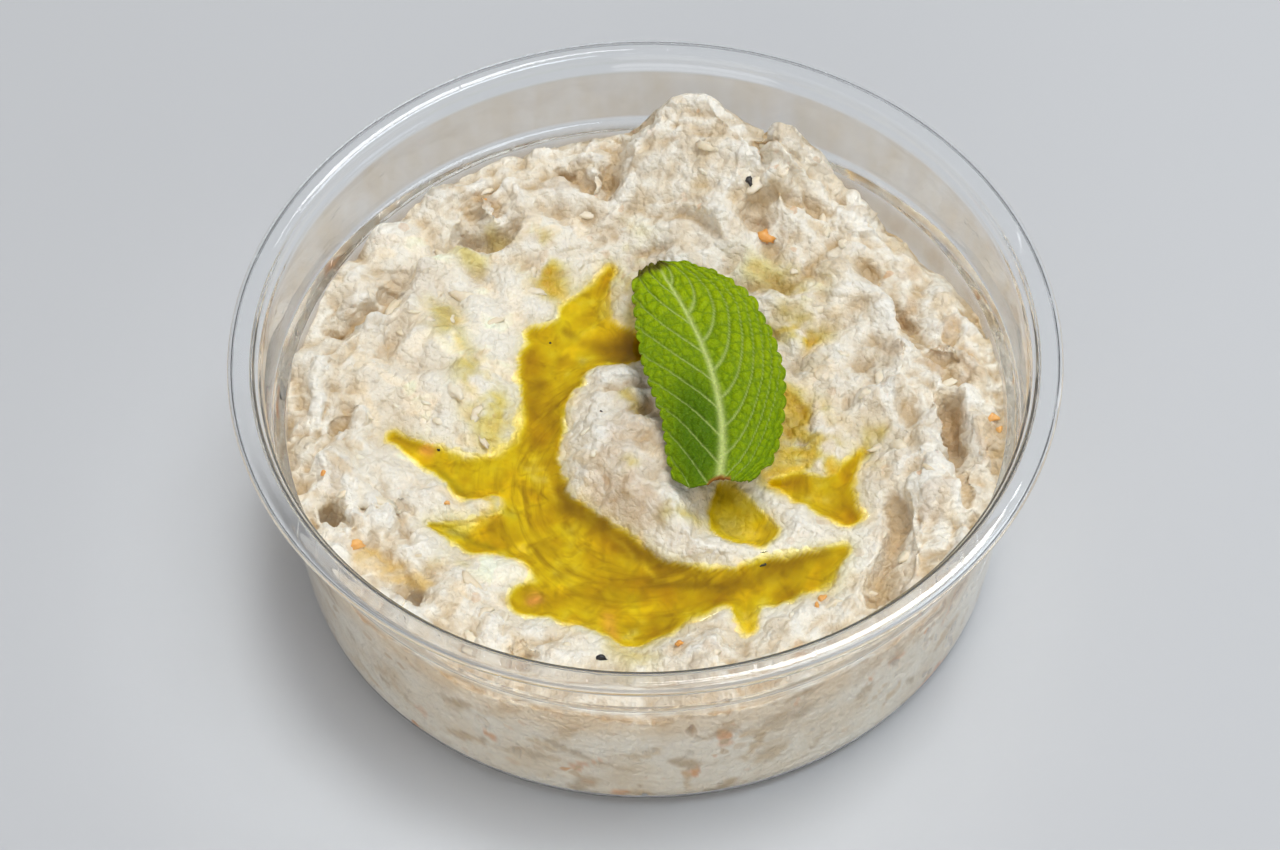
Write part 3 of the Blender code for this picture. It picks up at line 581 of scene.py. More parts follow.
def mapped(tree, vector, scale, rotation=(0.0, 0.0, 0.0)):
    """The socket of a vector turned and stretched."""
    made = add_node(tree, "ShaderNodeMapping", {
        "Vector": vector, "Rotation": rotation, "Scale": scale})
    return made.outputs[0]


def bumped(tree, height, strength, distance, under=None):
    """The normal socket of a bump, on top of another one where that is given."""
    made = add_node(tree, "ShaderNodeBump", {
        "Height": height, "Strength": strength, "Distance": distance})
    if under is not None:
        tree.links.new(under, made.inputs["Normal"])
    return made.outputs[0]


def math_node(tree, operation, a, b=0.0):
    return add_node(tree, "ShaderNodeMath", {0: a, 1: b}, operation=operation).outputs[0]


def let_lamps_through(tree, shader, color):
    """Shadow rays pass the clear shader, tinted, so that lamps light what is behind it."""
    path = add_node(tree, "ShaderNodeLightPath")
    clear = add_node(tree, "ShaderNodeBsdfTransparent", {"Color": (*color, 1.0)})
    mixed = add_node(tree, "ShaderNodeMixShader", {
        0: path.outputs["Is Shadow Ray"], 1: shader.outputs[0], 2: clear.outputs[0]})
    tree.links.new(mixed.outputs[0], tree.nodes["Material Output"].inputs["Surface"])


def cut_corners(points, rounds):
    """An open outline with each corner cut again and again, its two ends kept."""
    points = np.array(points, float)
    for _ in range(rounds):
        near = 0.75 * points[:-1] + 0.25 * points[1:]
        far = 0.25 * points[:-1] + 0.75 * points[1:]
        middle = np.stack([near, far], axis=1).reshape(-1, 2)
        points = np.concatenate([points[:1], middle, points[-1:]])
    return points


def ring_points(radius, turn, height):
    """Points at these turns round the Z axis."""
    return np.stack([radius * np.cos(turn), radius * np.sin(turn),
                     height * np.ones_like(turn)], axis=1)


def turned(outline, segments):
    """Points and faces of an outline from axis to axis, turned about Z."""
    turn = np.arange(segments) * 2 * math.pi / segments
    rings = outline[1:-1]
    ends = [(0, 0, outline[0][1]), (0, 0, outline[-1][1])]
    points = np.concatenate([ring_points(r, turn, z) for r, z in rings] + [ends])
    faces = []
    last = len(rings) - 1
    for k in range(segments):
        m = (k + 1) % segments
        for ring in range(last):
            a, b = ring * segments, (ring + 1) * segments
            faces.append((a + k, a + m, b + m, b + k))
        faces.append((len(points) - 2, m, k))
        faces.append((len(points) - 1, last * segments + k, last * segments + m))
    return points, faces


def make_tub():
    """The clear tub, its corners rounded as formed sheet is."""
    points, faces = turned(cut_corners(TUB_OUTLINE, TUB_ROUNDING), TUB_SEGMENTS)
    piece = make_piece("tub_shell", points, faces, ["tub"])
    # The warm tint inside the wall, grease with a painted reflection of the hummus, skips the
    # ledge.
    low, high = FILM_HEIGHTS
    film = smooth_step(points[:, 2], low, low + 1) * smooth_step(high - points[:, 2], 0, 1)
    film *= smooth_step(np.abs(points[:, 2] - LEDGE_HEIGHT), 0.7, 1.1)
    set_values(piece, "film", film * (np.hypot(points[:, 0], points[:, 1]) < FILM_RADIUS))
    piece.data.materials.append(tub_material())


def tub_material():
    """Clear plastic, faintly wavy and scratched, its inside tinted warm in vertical smears: a
    grease film from the hummus, with a painted reflection of the hummus.
    """
    material, tree, shader = new_material("clear_plastic")
    place = object_place(tree)
    waves = noise_value(tree, place, 55.0)
    drawn_out = mapped(tree, place, (900, 60, 900), (0.4, 0.9, 0.5))
    scratches = ramp(tree, noise_value(tree, drawn_out, 1.0), 0.66, 0.74)
    wavy = bumped(tree, waves, 0.25, 0.0012)
    # Warm vertical smears on the inner wall: grease, and a painted reflection of the hummus.
    smears = noise_value(tree, mapped(tree, place, (1.0, 1.0, 0.35)), 170.0, 3.0, 0.6)
    film = math_node(tree, "MULTIPLY", attribute(tree, "film"),
                     ramp(tree, smears, 0.3, 0.7, 0.45, 1.0))
    set_inputs(tree, shader, {
        "Base Color": mix_colors(tree, film, (*CLEAR_PLASTIC, 1.0), (*GREASE_AND_HUMMUS_REFLECTION, 1.0)),
        "Transmission Weight": 0.97, "IOR": 1.46,
        "Roughness": ramp(tree, scratches, 0.0, 1.0, 0.02, 0.22),
        "Normal": bumped(tree, scratches, 0.15, 0.0001, wavy)})
    let_lamps_through(tree, shader, PLASTIC_SHADOW)
    return material


def disc_grid(cells):
    """The grid of a square carried onto the unit disc, square rings onto round ones."""
    line = np.linspace(-1, 1, cells + 1)
    u, v = np.meshgrid(line, line, indexing="ij")
    wide = np.abs(u) > np.abs(v)
    reach, side = np.where(wide, u, v), np.where(wide, v, u)
    turn = math.pi / 4 * side / np.where(reach == 0, 1, reach)
    x = reach * np.where(wide, np.cos(turn), np.sin(turn))
    y = reach * np.where(wide, np.sin(turn), np.cos(turn))
    return x, y


def grid_faces(rows, columns):
    """Faces of a grid of points stored row by row."""
    index = np.arange(rows * columns).reshape(rows, columns)
    a, b = index[:-1, :-1].ravel(), index[1:, :-1].ravel()
    c, d = index[1:, 1:].ravel(), index[:-1, 1:].ravel()
    return np.stack([a, b, c, d], axis=1).tolist()


def grid_edge(rows, columns):
    """The points round a grid's outside, in order."""
    index = np.arange(rows * columns).reshape(rows, columns)
    return np.concatenate([index[:-1, 0], index[-1, :-1], index[:0:-1, -1], index[0, :0:-1]])


def grid_normals(x, y, z):
    """Unit normals of a grid of points."""
    points = np.stack([x, y, z], axis=-1)
    normal = np.cross(np.gradient(points, axis=0), np.gradient(points, axis=1))
    return normal / np.linalg.norm(normal, axis=-1, keepdims=True)


def blur(grid, reach):
    """A grid averaged over a square of this reach, twice."""
    for _ in range(2):
        for axis in (0, 1):
            padded = np.concatenate([np.repeat(np.take(grid, [0], axis), reach + 1, axis), grid,
                                     np.repeat(np.take(grid, [-1], axis), reach, axis)], axis)
            total = np.cumsum(padded, axis)
            span = 2 * reach + 1
            grid = (np.take(total, range(span, total.shape[axis]), axis)
                    - np.take(total, range(total.shape[axis] - span), axis)) / span
    return grid


def stamp(x, y, center_x, center_y, length, width, turn):
    """Weight of an oval stamp: 1 at its middle, falling to 0 past its edge."""
    c, s = math.cos(turn), math.sin(turn)
    dx, dy = x - center_x, y - center_y
    reach = ((dx * c + dy * s) / length) ** 2 + ((dy * c - dx * s) / width) ** 2
    return 1.0 - smooth_step(reach, 0.45, 1.5)


def cracked_top(x, y):
    """The top's height with its cracks, the distance to the oil, and how rough the top is."""
    bend_x = x + 0.7 * gradient_noise(x / 3.1, y / 3.1, 25)
    bend_y = y + 0.7 * gradient_noise(x / 3.1, y / 3.1, 26)
    height = hummus_height(x, y)
    for *ends, width, depth in CRACKS:
        height -= depth * stroke(bend_x, bend_y, ends, width)
    shore = pool_distance(x, y, POOL_STROKES)
    rough = np.clip(0.4 + shore / 6.0, 0.32, 1.0)
    for *place, share in TEXTURE_AREAS:
        rough *= 1 - share * spot(x, y, *place)
    return height, shore, np.minimum(rough, MOST_ROUGH)


def fine_relief(points, rough):
    """How far lumps, drawn-out lumps and torn edges raise each point along its normal."""
    size, shift, *seeds = WARP
    warped = points + shift * np.stack([solid_noise(points, size, seed) for seed in seeds], 1)
    fine = sum(rise * lumps(warped, size, seed) for size, rise, seed in FINE_LUMPS)
    turn = np.arctan2(warped[:, 1] - KNOB[1], warped[:, 0] - KNOB[0])
    reach = np.hypot(warped[:, 0] - KNOB[0], warped[:, 1] - KNOB[1])
    flow = ring_points(FLOW_RADIUS, turn, reach)
    beside = smooth_step(reach, 4.0, 11.0)
    for size, rise, seed in FLOW_LUMPS:
        fine += rise * beside * lumps(flow, size, seed)
        fine += 0.5 * rise * (1 - beside) * lumps(points, size, seed)
    size, rise, seed = TORN_EDGES
    edges = np.clip(1 - np.abs(solid_noise(warped, size, seed)) * 2.4, 0, 1) ** 2
    fine += rise * edges * smooth_step(solid_noise(points, 8.0, 27), -0.1, 0.4)
    size, seed = FLOW_PATCHES
    return fine * rough * (0.95 + 0.6 * solid_noise(points, size, seed))


def chopped_bits(points):
    """The patches of colour where chopped bits show: weights, and colours times weights."""
    draw = np.random.default_rng(PATCH_SEED)
    px, py = points[:, 0], points[:, 1]
    patch, color = np.zeros(len(points)), np.zeros((len(points), 3))
    for _ in range(CHOPPED_BITS):
        turn, reach = draw.uniform(0, 2 * math.pi), HUMMUS_RADIUS * math.sqrt(draw.random())
        cx, cy = reach * math.cos(turn), reach * math.sin(turn)
        length, width = draw.uniform(*PATCH_LENGTHS), draw.uniform(*PATCH_WIDTHS)
        near = np.hypot(px - cx, py - cy) < 1.4 * length + 1.0
        if not near.any():
            continue
        wobble = 0.6 * solid_noise(points[near], 2.2, 52)
        weight = stamp(px[near] + wobble, py[near] - wobble, cx, cy, length, width,
                       draw.uniform(0, math.pi)) * draw.uniform(*PATCH_WEIGHTS)
        shade = INCLUSIONS[draw.integers(len(INCLUSIONS))]
        color[near] = toward(color[near], shade, weight)
        patch[near] += (1 - patch[near]) * weight
    return patch, color


def paint_top(points, flat, up, rough, patch, patch_color):
    """Colours of the top: painted shade, warmer and darker, in hollows, painted light, paler, on
    crests, with chopped bits and stains.
    """
    z = points[:, 2].reshape(rough.shape)
    # How far each point lies below its neighbours: it sets the painted shade in hollows and the
    # painted light on crests.
    hollow = 0.0
    for reach, depth, share in HOLLOWS:
        hollow = hollow + share * np.clip((blur(z, reach) - z) / depth, -1, 1)
    hollow = hollow * np.clip(rough, 0.2, MOST_ROUGH)
    reach, depth, share = WIDE_HOLLOW
    hollow = (hollow + share * np.clip((blur(z, reach) - z) / depth, -1, 1)).ravel() * up
    cloud = solid_noise(points, 14.0, 61) * 0.5 + solid_noise(points, 5.0, 62) * 0.5
    color = toward(tone(IVORY), CREAM, smooth_step(cloud, -0.5, 0.6))
    # Painted light: crests paler than the rest.
    color = toward(color, CREST_LIGHT, 0.6 * np.clip(-hollow, 0, 1))
    color += 0.55 * (patch_color - color * patch[:, None])
    # Painted shade: hollows warmer and darker.
    color = toward(color, HOLLOW_SHADE, 0.75 * np.clip(hollow, 0, 1) ** 1.2)
    wobble = 1.2 * solid_noise(points, 3.0, 63)
    uneven = 0.7 + 0.5 * solid_noise(points, 1.8, 64)
    for sx, sy, length, width, turn, strength, stain in STAINS:
        weight = stamp(flat[:, 0] + wobble, flat[:, 1] - wobble, sx, sy, length, width,
                       math.radians(turn))
        color = toward(color, stain, np.clip(weight * strength * uneven, 0, 1))
    return color


def soak_in_oil(points, flat, shore, color):
    """Colours with oil soaked into the banks and lying in the swirl, and where it covers them.

    The places in flat are the points' own before their fine relief.
    """
    px, py = flat[:, 0], flat[:, 1]
    fade = sum(more * spot(px, py, *place) for *place, more in FADES)
    width = 0.4 + fade
    ragged = shore - 0.15 + (0.2 + 0.4 * np.minimum(fade, 1)) * (
        solid_noise(points, 2.6, 65) + 0.5 * solid_noise(points, 1.1, 67))
    soak = 0.3 * np.exp(-np.maximum(ragged, 0) / (0.3 + 0.35 * width))
    sunk = np.clip(OIL_LEVEL - points[:, 2], 0, None) * (shore < OIL_MARGIN)
    mottle = (1 + 0.75 * solid_noise(points, 6.5, 77) + 0.4 * solid_noise(points, 3.0, 66)
              + 0.25 * solid_noise(points, 1.4, 68))
    for *place, share in SHALLOWS:
        mottle *= 1 - share * spot(px, py, *place)
    cover = smooth_step(-ragged, -0.3, width)
    depth = np.minimum(1.8 * sunk, OIL_REACH * mottle) * cover
    bend = 1.1 * solid_noise(points, 3.6, 76)
    film = sum(amount * stroke(px + bend, py - bend, ends, half)
               for *ends, half, amount in OIL_FILMS)
    film = (film * smooth_step(mottle, 0.5, 1.3) * 1.8 + soak) * (1 - 0.8 * cover)
    color = color * (1 - 0.12 * smooth_step(depth + film, 0.0, 0.3))[:, None]
    color *= np.array(OIL_TINT) ** depth[:, None] * np.array(FILM_TINT) ** film[:, None]
    shaken = px + 0.4 * solid_noise(points, 2.2, 75)
    # Dark streaks, rusty flecks and painted highlights in the oil.
    for mark, lines in OIL_MARKS:
        for *ends, half, strength in lines:
            color = toward(color, mark, strength * stroke(shaken, py, ends, half) * cover)
    return color, smooth_step(depth, 0.4, 1.0) * cover


def pressed_side(turn, edge_z):
    """The side's rings, pressed to the wall except where air was caught, and their colours, with
    painted shade in those pits.
    """
    rings, colors = [], []
    for ring in range(1, WALL_RINGS + 1):
        ring_z = edge_z + (SIDE_FOOT - edge_z) * ring / WALL_RINGS
        radius = pressed_radius(ring_z)
        place = ring_points(radius, turn, ring_z)
        pits = smooth_step(0.8 * solid_noise(place, 3.4, 71) + 0.35 * solid_noise(place, 1.3, 72)
                           + 0.5 * solid_noise(place, 13.0, 78), 0.5, 0.85)
        rings.append(ring_points(radius - PIT_DEPTH * pits, turn, ring_z))
        cloud = solid_noise(place, 9.0, 73) + 0.4 * solid_noise(place, 3.0, 74)
        shade = toward(tone(IVORY), CREAM, smooth_step(cloud, -0.5, 0.8))
        # Painted shade darkens the pits where air was caught.
        colors.append(toward(shade, HOLLOW_SHADE, 0.8 * pits))
    points, color = np.concatenate(rings), np.concatenate(colors)

    # Chopped bits show through the wall as flecks.
    arc, side_z = np.tile(turn, WALL_RINGS) * SIDE_RADIUS, points[:, 2]
    draw = np.random.default_rng(FLECK_SEED)
    for _ in range(SIDE_FLECKS):
        ca, cz = draw.uniform(-math.pi, math.pi) * SIDE_RADIUS, draw.uniform(*FLECK_HEIGHTS)
        length, width = draw.uniform(*FLECK_LENGTHS), draw.uniform(*FLECK_WIDTHS)
        near = (np.abs(arc - ca) < 5.0) & (np.abs(side_z - cz) < 4.0)
        if not near.any():
            continue
        wobble = 0.8 * solid_noise(points[near], 2.0, 82)
        weight = stamp(arc[near] + wobble, side_z[near] - wobble, ca, cz, length, width,
                       draw.normal(*FLECK_TURN)) * draw.uniform(*FLECK_WEIGHTS)
        rusty = draw.random() < RUSTY_SHARE
        shade = RUST if rusty else SIDE_SHADES[draw.integers(len(SIDE_SHADES))]
        weight = np.minimum(weight * (RUSTY_GAIN if rusty else 1.0), MOST_WEIGHT)
        color[near] = toward(color[near], shade, weight)
    return points, color


def make_hummus():
    """The hummus: its worked top, its side against the wall, and its underside."""
    disc_x, disc_y = disc_grid(TOP_CELLS)
    x, y = disc_x * HUMMUS_RADIUS, disc_y * HUMMUS_RADIUS
    height, shore, rough = cracked_top(x, y)
    flat_rough, flat_shore = rough.ravel(), shore.ravel()

    # Lumps lean sideways, and finer ones rise along the normals.
    relief = np.clip(rough * (height - blur(height, 9)), -LEAN_LIMIT, LEAN_LIMIT)
    lean = 2 * relief * np.where(shore > BANK_CLEAR, LEAN, 0.0)
    size, seed_x, seed_y = LEAN_NOISE
    x = x + lean * gradient_noise(x / size, y / size, seed_x)
    y = y + lean * gradient_noise(x / size, y / size, seed_y)
    normal = grid_normals(x, y, height).reshape(-1, 3)
    points = np.stack([x, y, height], axis=-1).reshape(-1, 3)
    flat = points[:, :2]
    patch, patch_color = chopped_bits(points)
    patch *= np.clip(1.2 * flat_rough - 0.15, 0.15, 1.0)
    fine = fine_relief(points, flat_rough) + PATCH_RISE * patch * flat_rough
    points = points + normal * fine[:, None]
    color = paint_top(points, flat, normal[:, 2], rough, patch, patch_color)
    color, covered = soak_in_oil(points, flat, flat_shore, color)

    edge = grid_edge(TOP_CELLS + 1, TOP_CELLS + 1)
    turn = np.arctan2(disc_y.ravel()[edge], disc_x.ravel()[edge])
    edge_z = points[edge, 2]
    points[edge] = ring_points(pressed_radius(edge_z), turn, edge_z)
    side_points, side_color = pressed_side(turn, edge_z)
    under = [ring_points(radius, turn, z) for radius, z in UNDERSIDE]
    everything = np.concatenate([points, side_points] + under)
    faces = grid_faces(TOP_CELLS + 1, TOP_CELLS + 1)
    above = edge
    for ring in range(WALL_RINGS + len(UNDERSIDE)):
        below = len(points) + ring * len(edge) + np.arange(len(edge))
        quads = np.stack([above, below, np.roll(below, -1), np.roll(above, -1)], axis=1)
        faces += quads.tolist()
        above = below
    faces.append(above[::-1].tolist())
    piece = make_piece("hummus_dip", everything, faces, ["hummus"])

    # What the material reads at each point, on the top and then on the rest.
    rest = everything[len(points):]
    tail = np.tile(tone(CREAM), (len(rest) - len(side_points), 1))
    set_colors(piece, "tint", np.clip(np.concatenate([color, side_color, tail]), 0, 1))
    wet = np.exp(-np.maximum(flat_shore, 0) / 2.5)
    gloss = (0.5 - 0.08 * wet) * (1 - covered) + 0.95 * covered
    loose = smooth_step(solid_noise(points, 11.0, 69), -0.4, 0.5) * flat_rough * (1 - covered)
    patchy = smooth_step(solid_noise(rest, 7.0, 79), 0.0, 0.6)
    away = everything[:, :2] - KNOB[:2]
    reach = np.hypot(away[:, 0], away[:, 1])
    ring = np.exp(-((reach[:len(points)] - 17) / 6.5) ** 2)
    for name, on_top, elsewhere in (
            ("gloss", gloss, np.full(len(rest), 0.5)),
            ("under_oil", covered, np.zeros(len(rest))),
            ("chunks", 0.3 * loose, 0.12 + 0.6 * patchy),
            ("streaks", covered * ring, np.zeros(len(rest)))):
        set_values(piece, name, np.concatenate([on_top, elsewhere]))
    bearing = (np.arctan2(away[:, 1], away[:, 0]) - SWIRL_SEAM) % (2 * math.pi)
    set_values(piece, "swirl", np.stack([bearing * SWIRL_RADIUS, reach, everything[:, 2]], axis=1))
    piece.data.materials.append(hummus_material())
    return points


def hummus_material():
    """Painted colours, fine grain and streaks of oil, over a soft translucent paste."""
    material, tree, shader = new_material("hummus_paste")
    shader.subsurface_method = "BURLEY"
    place = object_place(tree)
    under_oil = attribute(tree, "under_oil")
    streaks = attribute(tree, "streaks")

    def overlay(color, weight, share, shade):
        """A colour with another one over it, as strong as the two shares' product."""
        return mix_colors(tree, math_node(tree, "MULTIPLY", weight, share), color, shade)

    grain = noise_value(tree, place, 900.0, 2.0, 0.6)
    color = mix_colors(tree, 1.0, attribute(tree, "tint", "Color"),
                       ramp(tree, grain, 0.3, 0.7, 0.9, 1.0), "MULTIPLY")

    # Small chunks: uneven cells, some of them tan and a few rusty.
    jitter = add_node(tree, "ShaderNodeTexNoise", {
        "Vector": place, "Scale": 600.0, "Detail": 1.0})
    bent = add_node(tree, "ShaderNodeVectorMath", {
        0: jitter.outputs["Color"], "Scale": 0.0016}, operation="SCALE").outputs[0]
    bent = add_node(tree, "ShaderNodeVectorMath", {0: place, 1: bent}).outputs[0]
    chunks = add_node(tree, "ShaderNodeTexVoronoi", {
        "Vector": bent, "Scale": 430.0, "Randomness": 1.0})
    kind = add_node(tree, "ShaderNodeSeparateColor", {"Color": chunks.outputs["Color"]})
    reach = ramp(tree, kind.outputs["Green"], 0.0, 1.0, 0.2, 0.5)
    inside = math_node(tree, "SUBTRACT", reach, chunks.outputs["Distance"])
    inside = math_node(tree, "MULTIPLY", ramp(tree, inside, -0.04, 0.06),
                       attribute(tree, "chunks"))
    tan = mix_colors(tree, kind.outputs["Blue"], rgba(CHUNKS[0]), rgba(CHUNKS[1]))
    color = overlay(color, inside, ramp(tree, kind.outputs["Red"], 0.45, 0.5), tan)
    color = overlay(color, inside, ramp(tree, kind.outputs["Red"], 0.945, 0.95), rgba(RUST))

    # Lines and blotches in the oil, drawn out round the knob.
    swirl = mapped(tree, attribute(tree, "swirl", "Vector"), (0.11, 1.0, 0.3))
    dark = noise_value(tree, swirl, 0.8, 3.0, 0.65, 0.5)
    color = overlay(color, ramp(tree, dark, 0.48, 0.72, 0.0, 0.8), streaks, rgba(OIL_STREAK))
    pale = noise_value(tree, swirl, 0.55, 3.0, 0.55, 0.4)
    color = overlay(color, ramp(tree, pale, 0.55, 0.75, 0.0, 0.5), streaks, rgba(OIL_PALE))
    blotch = noise_value(tree, place, 330.0, 2.0, 0.65, 0.8)
    color = overlay(color, ramp(tree, blotch, 0.5, 0.72, 0.0, 0.6), under_oil, rgba(OIL_STREAK))

    curds = add_node(tree, "ShaderNodeTexVoronoi", {"Vector": bent, "Scale": 820.0})
    curds = math_node(tree, "POWER", curds.outputs["Distance"], 1.6)
    curds = math_node(tree, "SUBTRACT", 1.0, curds)
    strength = ramp(tree, under_oil, 0.0, 1.0, 0.6, 0.08)
    normal = bumped(tree, noise_value(tree, place, 1700.0, 2.0, 0.65), strength, 0.0005,
                    bumped(tree, curds, strength, 0.0007))
    set_inputs(tree, shader, {
        "Base Color": color, "Normal": normal, "Roughness": attribute(tree, "gloss"),
        "Subsurface Weight": 0.5, "Subsurface Radius": (1.0, 0.78, 0.48),
        "Subsurface Scale": 0.0006,
        "Specular IOR Level": ramp(tree, under_oil, 0.0, 1.0, 0.45, 0.08)})
    return material


def shred_places():
    """The CAD's shreds, and smaller ones between them, away from the oil and the leaf."""
    draw = np.random.default_rng(BIT_SEED)
    placed = []

    def place(gap, sizes):
        turn = draw.uniform(0, 2 * math.pi)
        reach = HUMMUS_RADIUS * SHRED_REACH * math.sqrt(draw.random())
        x, y = reach * math.cos(turn), reach * math.sin(turn)
        here = np.array([x]), np.array([y])
        clear = pool_distance(*here, POOL_STROKES)[0] > SHRED_FROM_OIL * gap / SHRED_GAP
        off_leaf = leaf_distance(*here)[0] > SHRED_FROM_LEAF
        apart = all(math.hypot(x - bit[0], y - bit[1]) > gap for bit in placed)
        if clear and off_leaf and apart:
            placed.append((x, y) + tuple(draw.uniform(low, high) for low, high in sizes))

    while len(placed) < SHRED_COUNT:
        place(SHRED_GAP, ((3.5, 6.0), (1.2, 2.0), (0.9, 1.3), (0, 180)))
    while len(placed) < SHRED_COUNT + SMALL_SHREDS:
        place(2.5, ((1.4, 3.4), (0.7, 1.3), (0.5, 0.8), (0, 180)))
    return placed


def ball(rings, segments):
    """Points and faces of a ball of radius 1, each pole's points joined in one."""
    turn = np.linspace(0, 2 * math.pi, segments, endpoint=False)
    rise = np.linspace(-math.pi / 2, math.pi / 2, rings + 1)
    points = np.concatenate([ring_points(math.cos(r), turn, math.sin(r)) for r in rise])
    index = np.arange(len(points)).reshape(rings + 1, segments)
    index[0], index[-1] = index[0, 0], index[-1, 0]
    quads = np.stack([index[:-1], np.roll(index[:-1], -1, 1), np.roll(index[1:], -1, 1),
                      index[1:]], axis=-1).reshape(-1, 4)
    return points, [list(dict.fromkeys(quad)) for quad in quads.tolist()]


def make_bits(name, places, top, colors, seed, roughness=0.35, sunk=0.0):
    """Chopped bits of one kind, joined: uneven lumps half sunk in the hummus's top."""
    round_bit, shape = ball(BIT_RINGS, BIT_SEGMENTS)
    points, faces, shades = [], [], []
    draw = np.random.default_rng(seed)
    for x, y, length, width, thickness, angle in places:
        height = top[np.argmin(np.hypot(top[:, 0] - x, top[:, 1] - y)), 2]
        place = round_bit + draw.uniform(-40, 40, 3)
        uneven = 1 + 0.5 * solid_noise(place, 0.9, seed) + 0.3 * solid_noise(place, 0.45, seed)
        bit = 0.5 * round_bit * uneven[:, None] * (length, width, thickness)
        bit[:, 1] += 0.12 * width * np.cos(bit[:, 0] / length * 2 * math.pi)
        bit[:, 2] -= 0.5 * thickness * (2 * bit[:, 0] / length) ** 2 * draw.uniform(0, 1)
        c, s = math.cos(math.radians(angle)), math.sin(math.radians(angle))
        bit[:, :2] = bit[:, :2] @ np.array([[c, s], [-s, c]])
        faces += [[i + len(points) * len(bit) for i in face] for face in shape]
        points.append(bit + (x, y, height - sunk * thickness))
        shades.append(np.full(len(bit), draw.random()))
    piece = make_piece(name, np.concatenate(points), faces)
    set_values(piece, "shade", np.concatenate(shades))
    piece.data.materials.append(bit_material(name, colors, roughness))


def bit_material(name, colors, roughness):
    """Moist bits between two colours, each bit with its own share of them."""
    material, tree, shader = new_material(name)
    cloud = noise_value(tree, object_place(tree), 900.0, 3.0, 0.6)
    share = math_node(tree, "ADD", math_node(tree, "MULTIPLY", attribute(tree, "shade"), 0.6),
                      ramp(tree, cloud, 0.3, 0.7, -0.2, 0.6))
    first, second = [rgba(color) for color in colors]
    set_inputs(tree, shader, {
        "Base Color": mix_colors(tree, ramp(tree, share, 0.0, 1.0), first, second),
        "Roughness": roughness, "Normal": bumped(tree, cloud, 0.4, 0.0003),
        "Subsurface Weight": 0.2, "Subsurface Radius": (1.0, 0.7, 0.4),
        "Subsurface Scale": 0.0005})
    return material


def make_oil(node, name, material):
    """One pool of oil: a level top with a slight meniscus, its underside inside the hummus."""
    strokes = np.array(POOL_STROKES[node])
    low = np.minimum(strokes[:, :2], strokes[:, 3:5]).min(axis=0) - OIL_BORDER
    high = np.maximum(strokes[:, :2], strokes[:, 3:5]).max(axis=0) + OIL_BORDER
    x, y = np.meshgrid(*(np.arange(*ends, OIL_CELL) for ends in zip(low, high)), indexing="ij")
    shore = pool_distance(x, y, [node])
    slope_x, slope_y = np.gradient(shore, OIL_CELL)
    inside = shore < OIL_MARGIN + OIL_CELL
    past = np.where(shore > OIL_MARGIN, shore - OIL_MARGIN, 0.0)
    x, y = x - past * slope_x, y - past * slope_y
    shore = np.minimum(shore, OIL_MARGIN)
    rise = 0.05 * np.exp(np.clip(shore, -9, 0) / 0.7)
    flow = 0.05 * gradient_noise(x / 5, y / 5, 91) * smooth_step(-shore, 0.0, 3.0)
    bed = np.minimum(hummus_height(x, y), OIL_LEVEL) - 0.8
    points = np.concatenate([np.stack([x, y, z], -1).reshape(-1, 3)
                             for z in (OIL_LEVEL + rise + flow, bed)])

    # Faces over and under the cells that are wholly inside, and round their open sides.
    cells = inside[:-1, :-1] & inside[1:, :-1] & inside[1:, 1:] & inside[:-1, 1:]
    index = np.arange(x.size).reshape(x.shape)
    i, j = np.nonzero(cells)
    a, b, c, d = index[i, j], index[i + 1, j], index[i + 1, j + 1], index[i, j + 1]
    faces = [np.stack([a, b, c, d], axis=1), np.stack([d, c, b, a], axis=1) + x.size]
    padded = np.pad(cells, 1)
    for di, dj, first, second in ((-1, 0, d, a), (1, 0, b, c), (0, -1, a, b), (0, 1, c, d)):
        open_side = ~padded[i + 1 + di, j + 1 + dj]
        p, q = first[open_side], second[open_side]
        faces.append(np.stack([q, p, p + x.size, q + x.size], axis=1))
    used, faces = np.unique(np.concatenate(faces), return_inverse=True)
    piece = make_piece(name, points[used], faces.reshape(-1, 4).tolist(), [node])
    piece.data.materials.append(material)


def oil_material():
    """Clear yellow oil."""
    material, tree, shader = new_material("olive_oil_clear")
    ripple = noise_value(tree, object_place(tree), 160.0, 1.0, 0.4)
    set_inputs(tree, shader, {
        "Base Color": rgba(OIL_CLEAR), "Roughness": 0.02, "IOR": 1.47,
        "Transmission Weight": 1.0, "Normal": bumped(tree, ripple, 0.12, 0.0006)})
    let_lamps_through(tree, shader, tone(OIL_SHADOW))
    return material


# The mint leaf's fine shape.
LEAF_ROWS = 170
LEAF_COLUMNS = 96
LEAF_TEETH = 17
LEAF_VEINS = 7.6         # side veins along each half
LEAF_LENGTH = 41.0


def cell_walls(x, y, size, seed):
    """0 on the walls of a net of uneven cells of this size, and up to about 1 inside them."""
    side = 64
    shift = np.random.default_rng(seed).random((side, side, 2))
    place = np.stack([x, y], axis=-1) / size
    cell = np.floor(place).astype(int)
    gaps = []
    for step in itertools.product((-1, 0, 1), repeat=2):
        near = cell + step
        point = near + shift[near[..., 0] % side, near[..., 1] % side]
        gaps.append(np.linalg.norm(place - point, axis=-1))
    gaps = np.sort(np.stack(gaps), axis=0)
    return gaps[1] - gaps[0]


def leaf_height(t, v):
    """Height of the blade's underside at t along it and v across it, from -1 to 1."""
    across = np.abs(v)
    fold = 0.9 * across ** 0.8 - 1.1 * v * v
    droop = 1.3 * np.maximum(0.0, -v) * np.maximum(0.0, 1 - 1.6 * t)
    return LEAF_HEIGHT + fold - droop - 1.2 * t * t


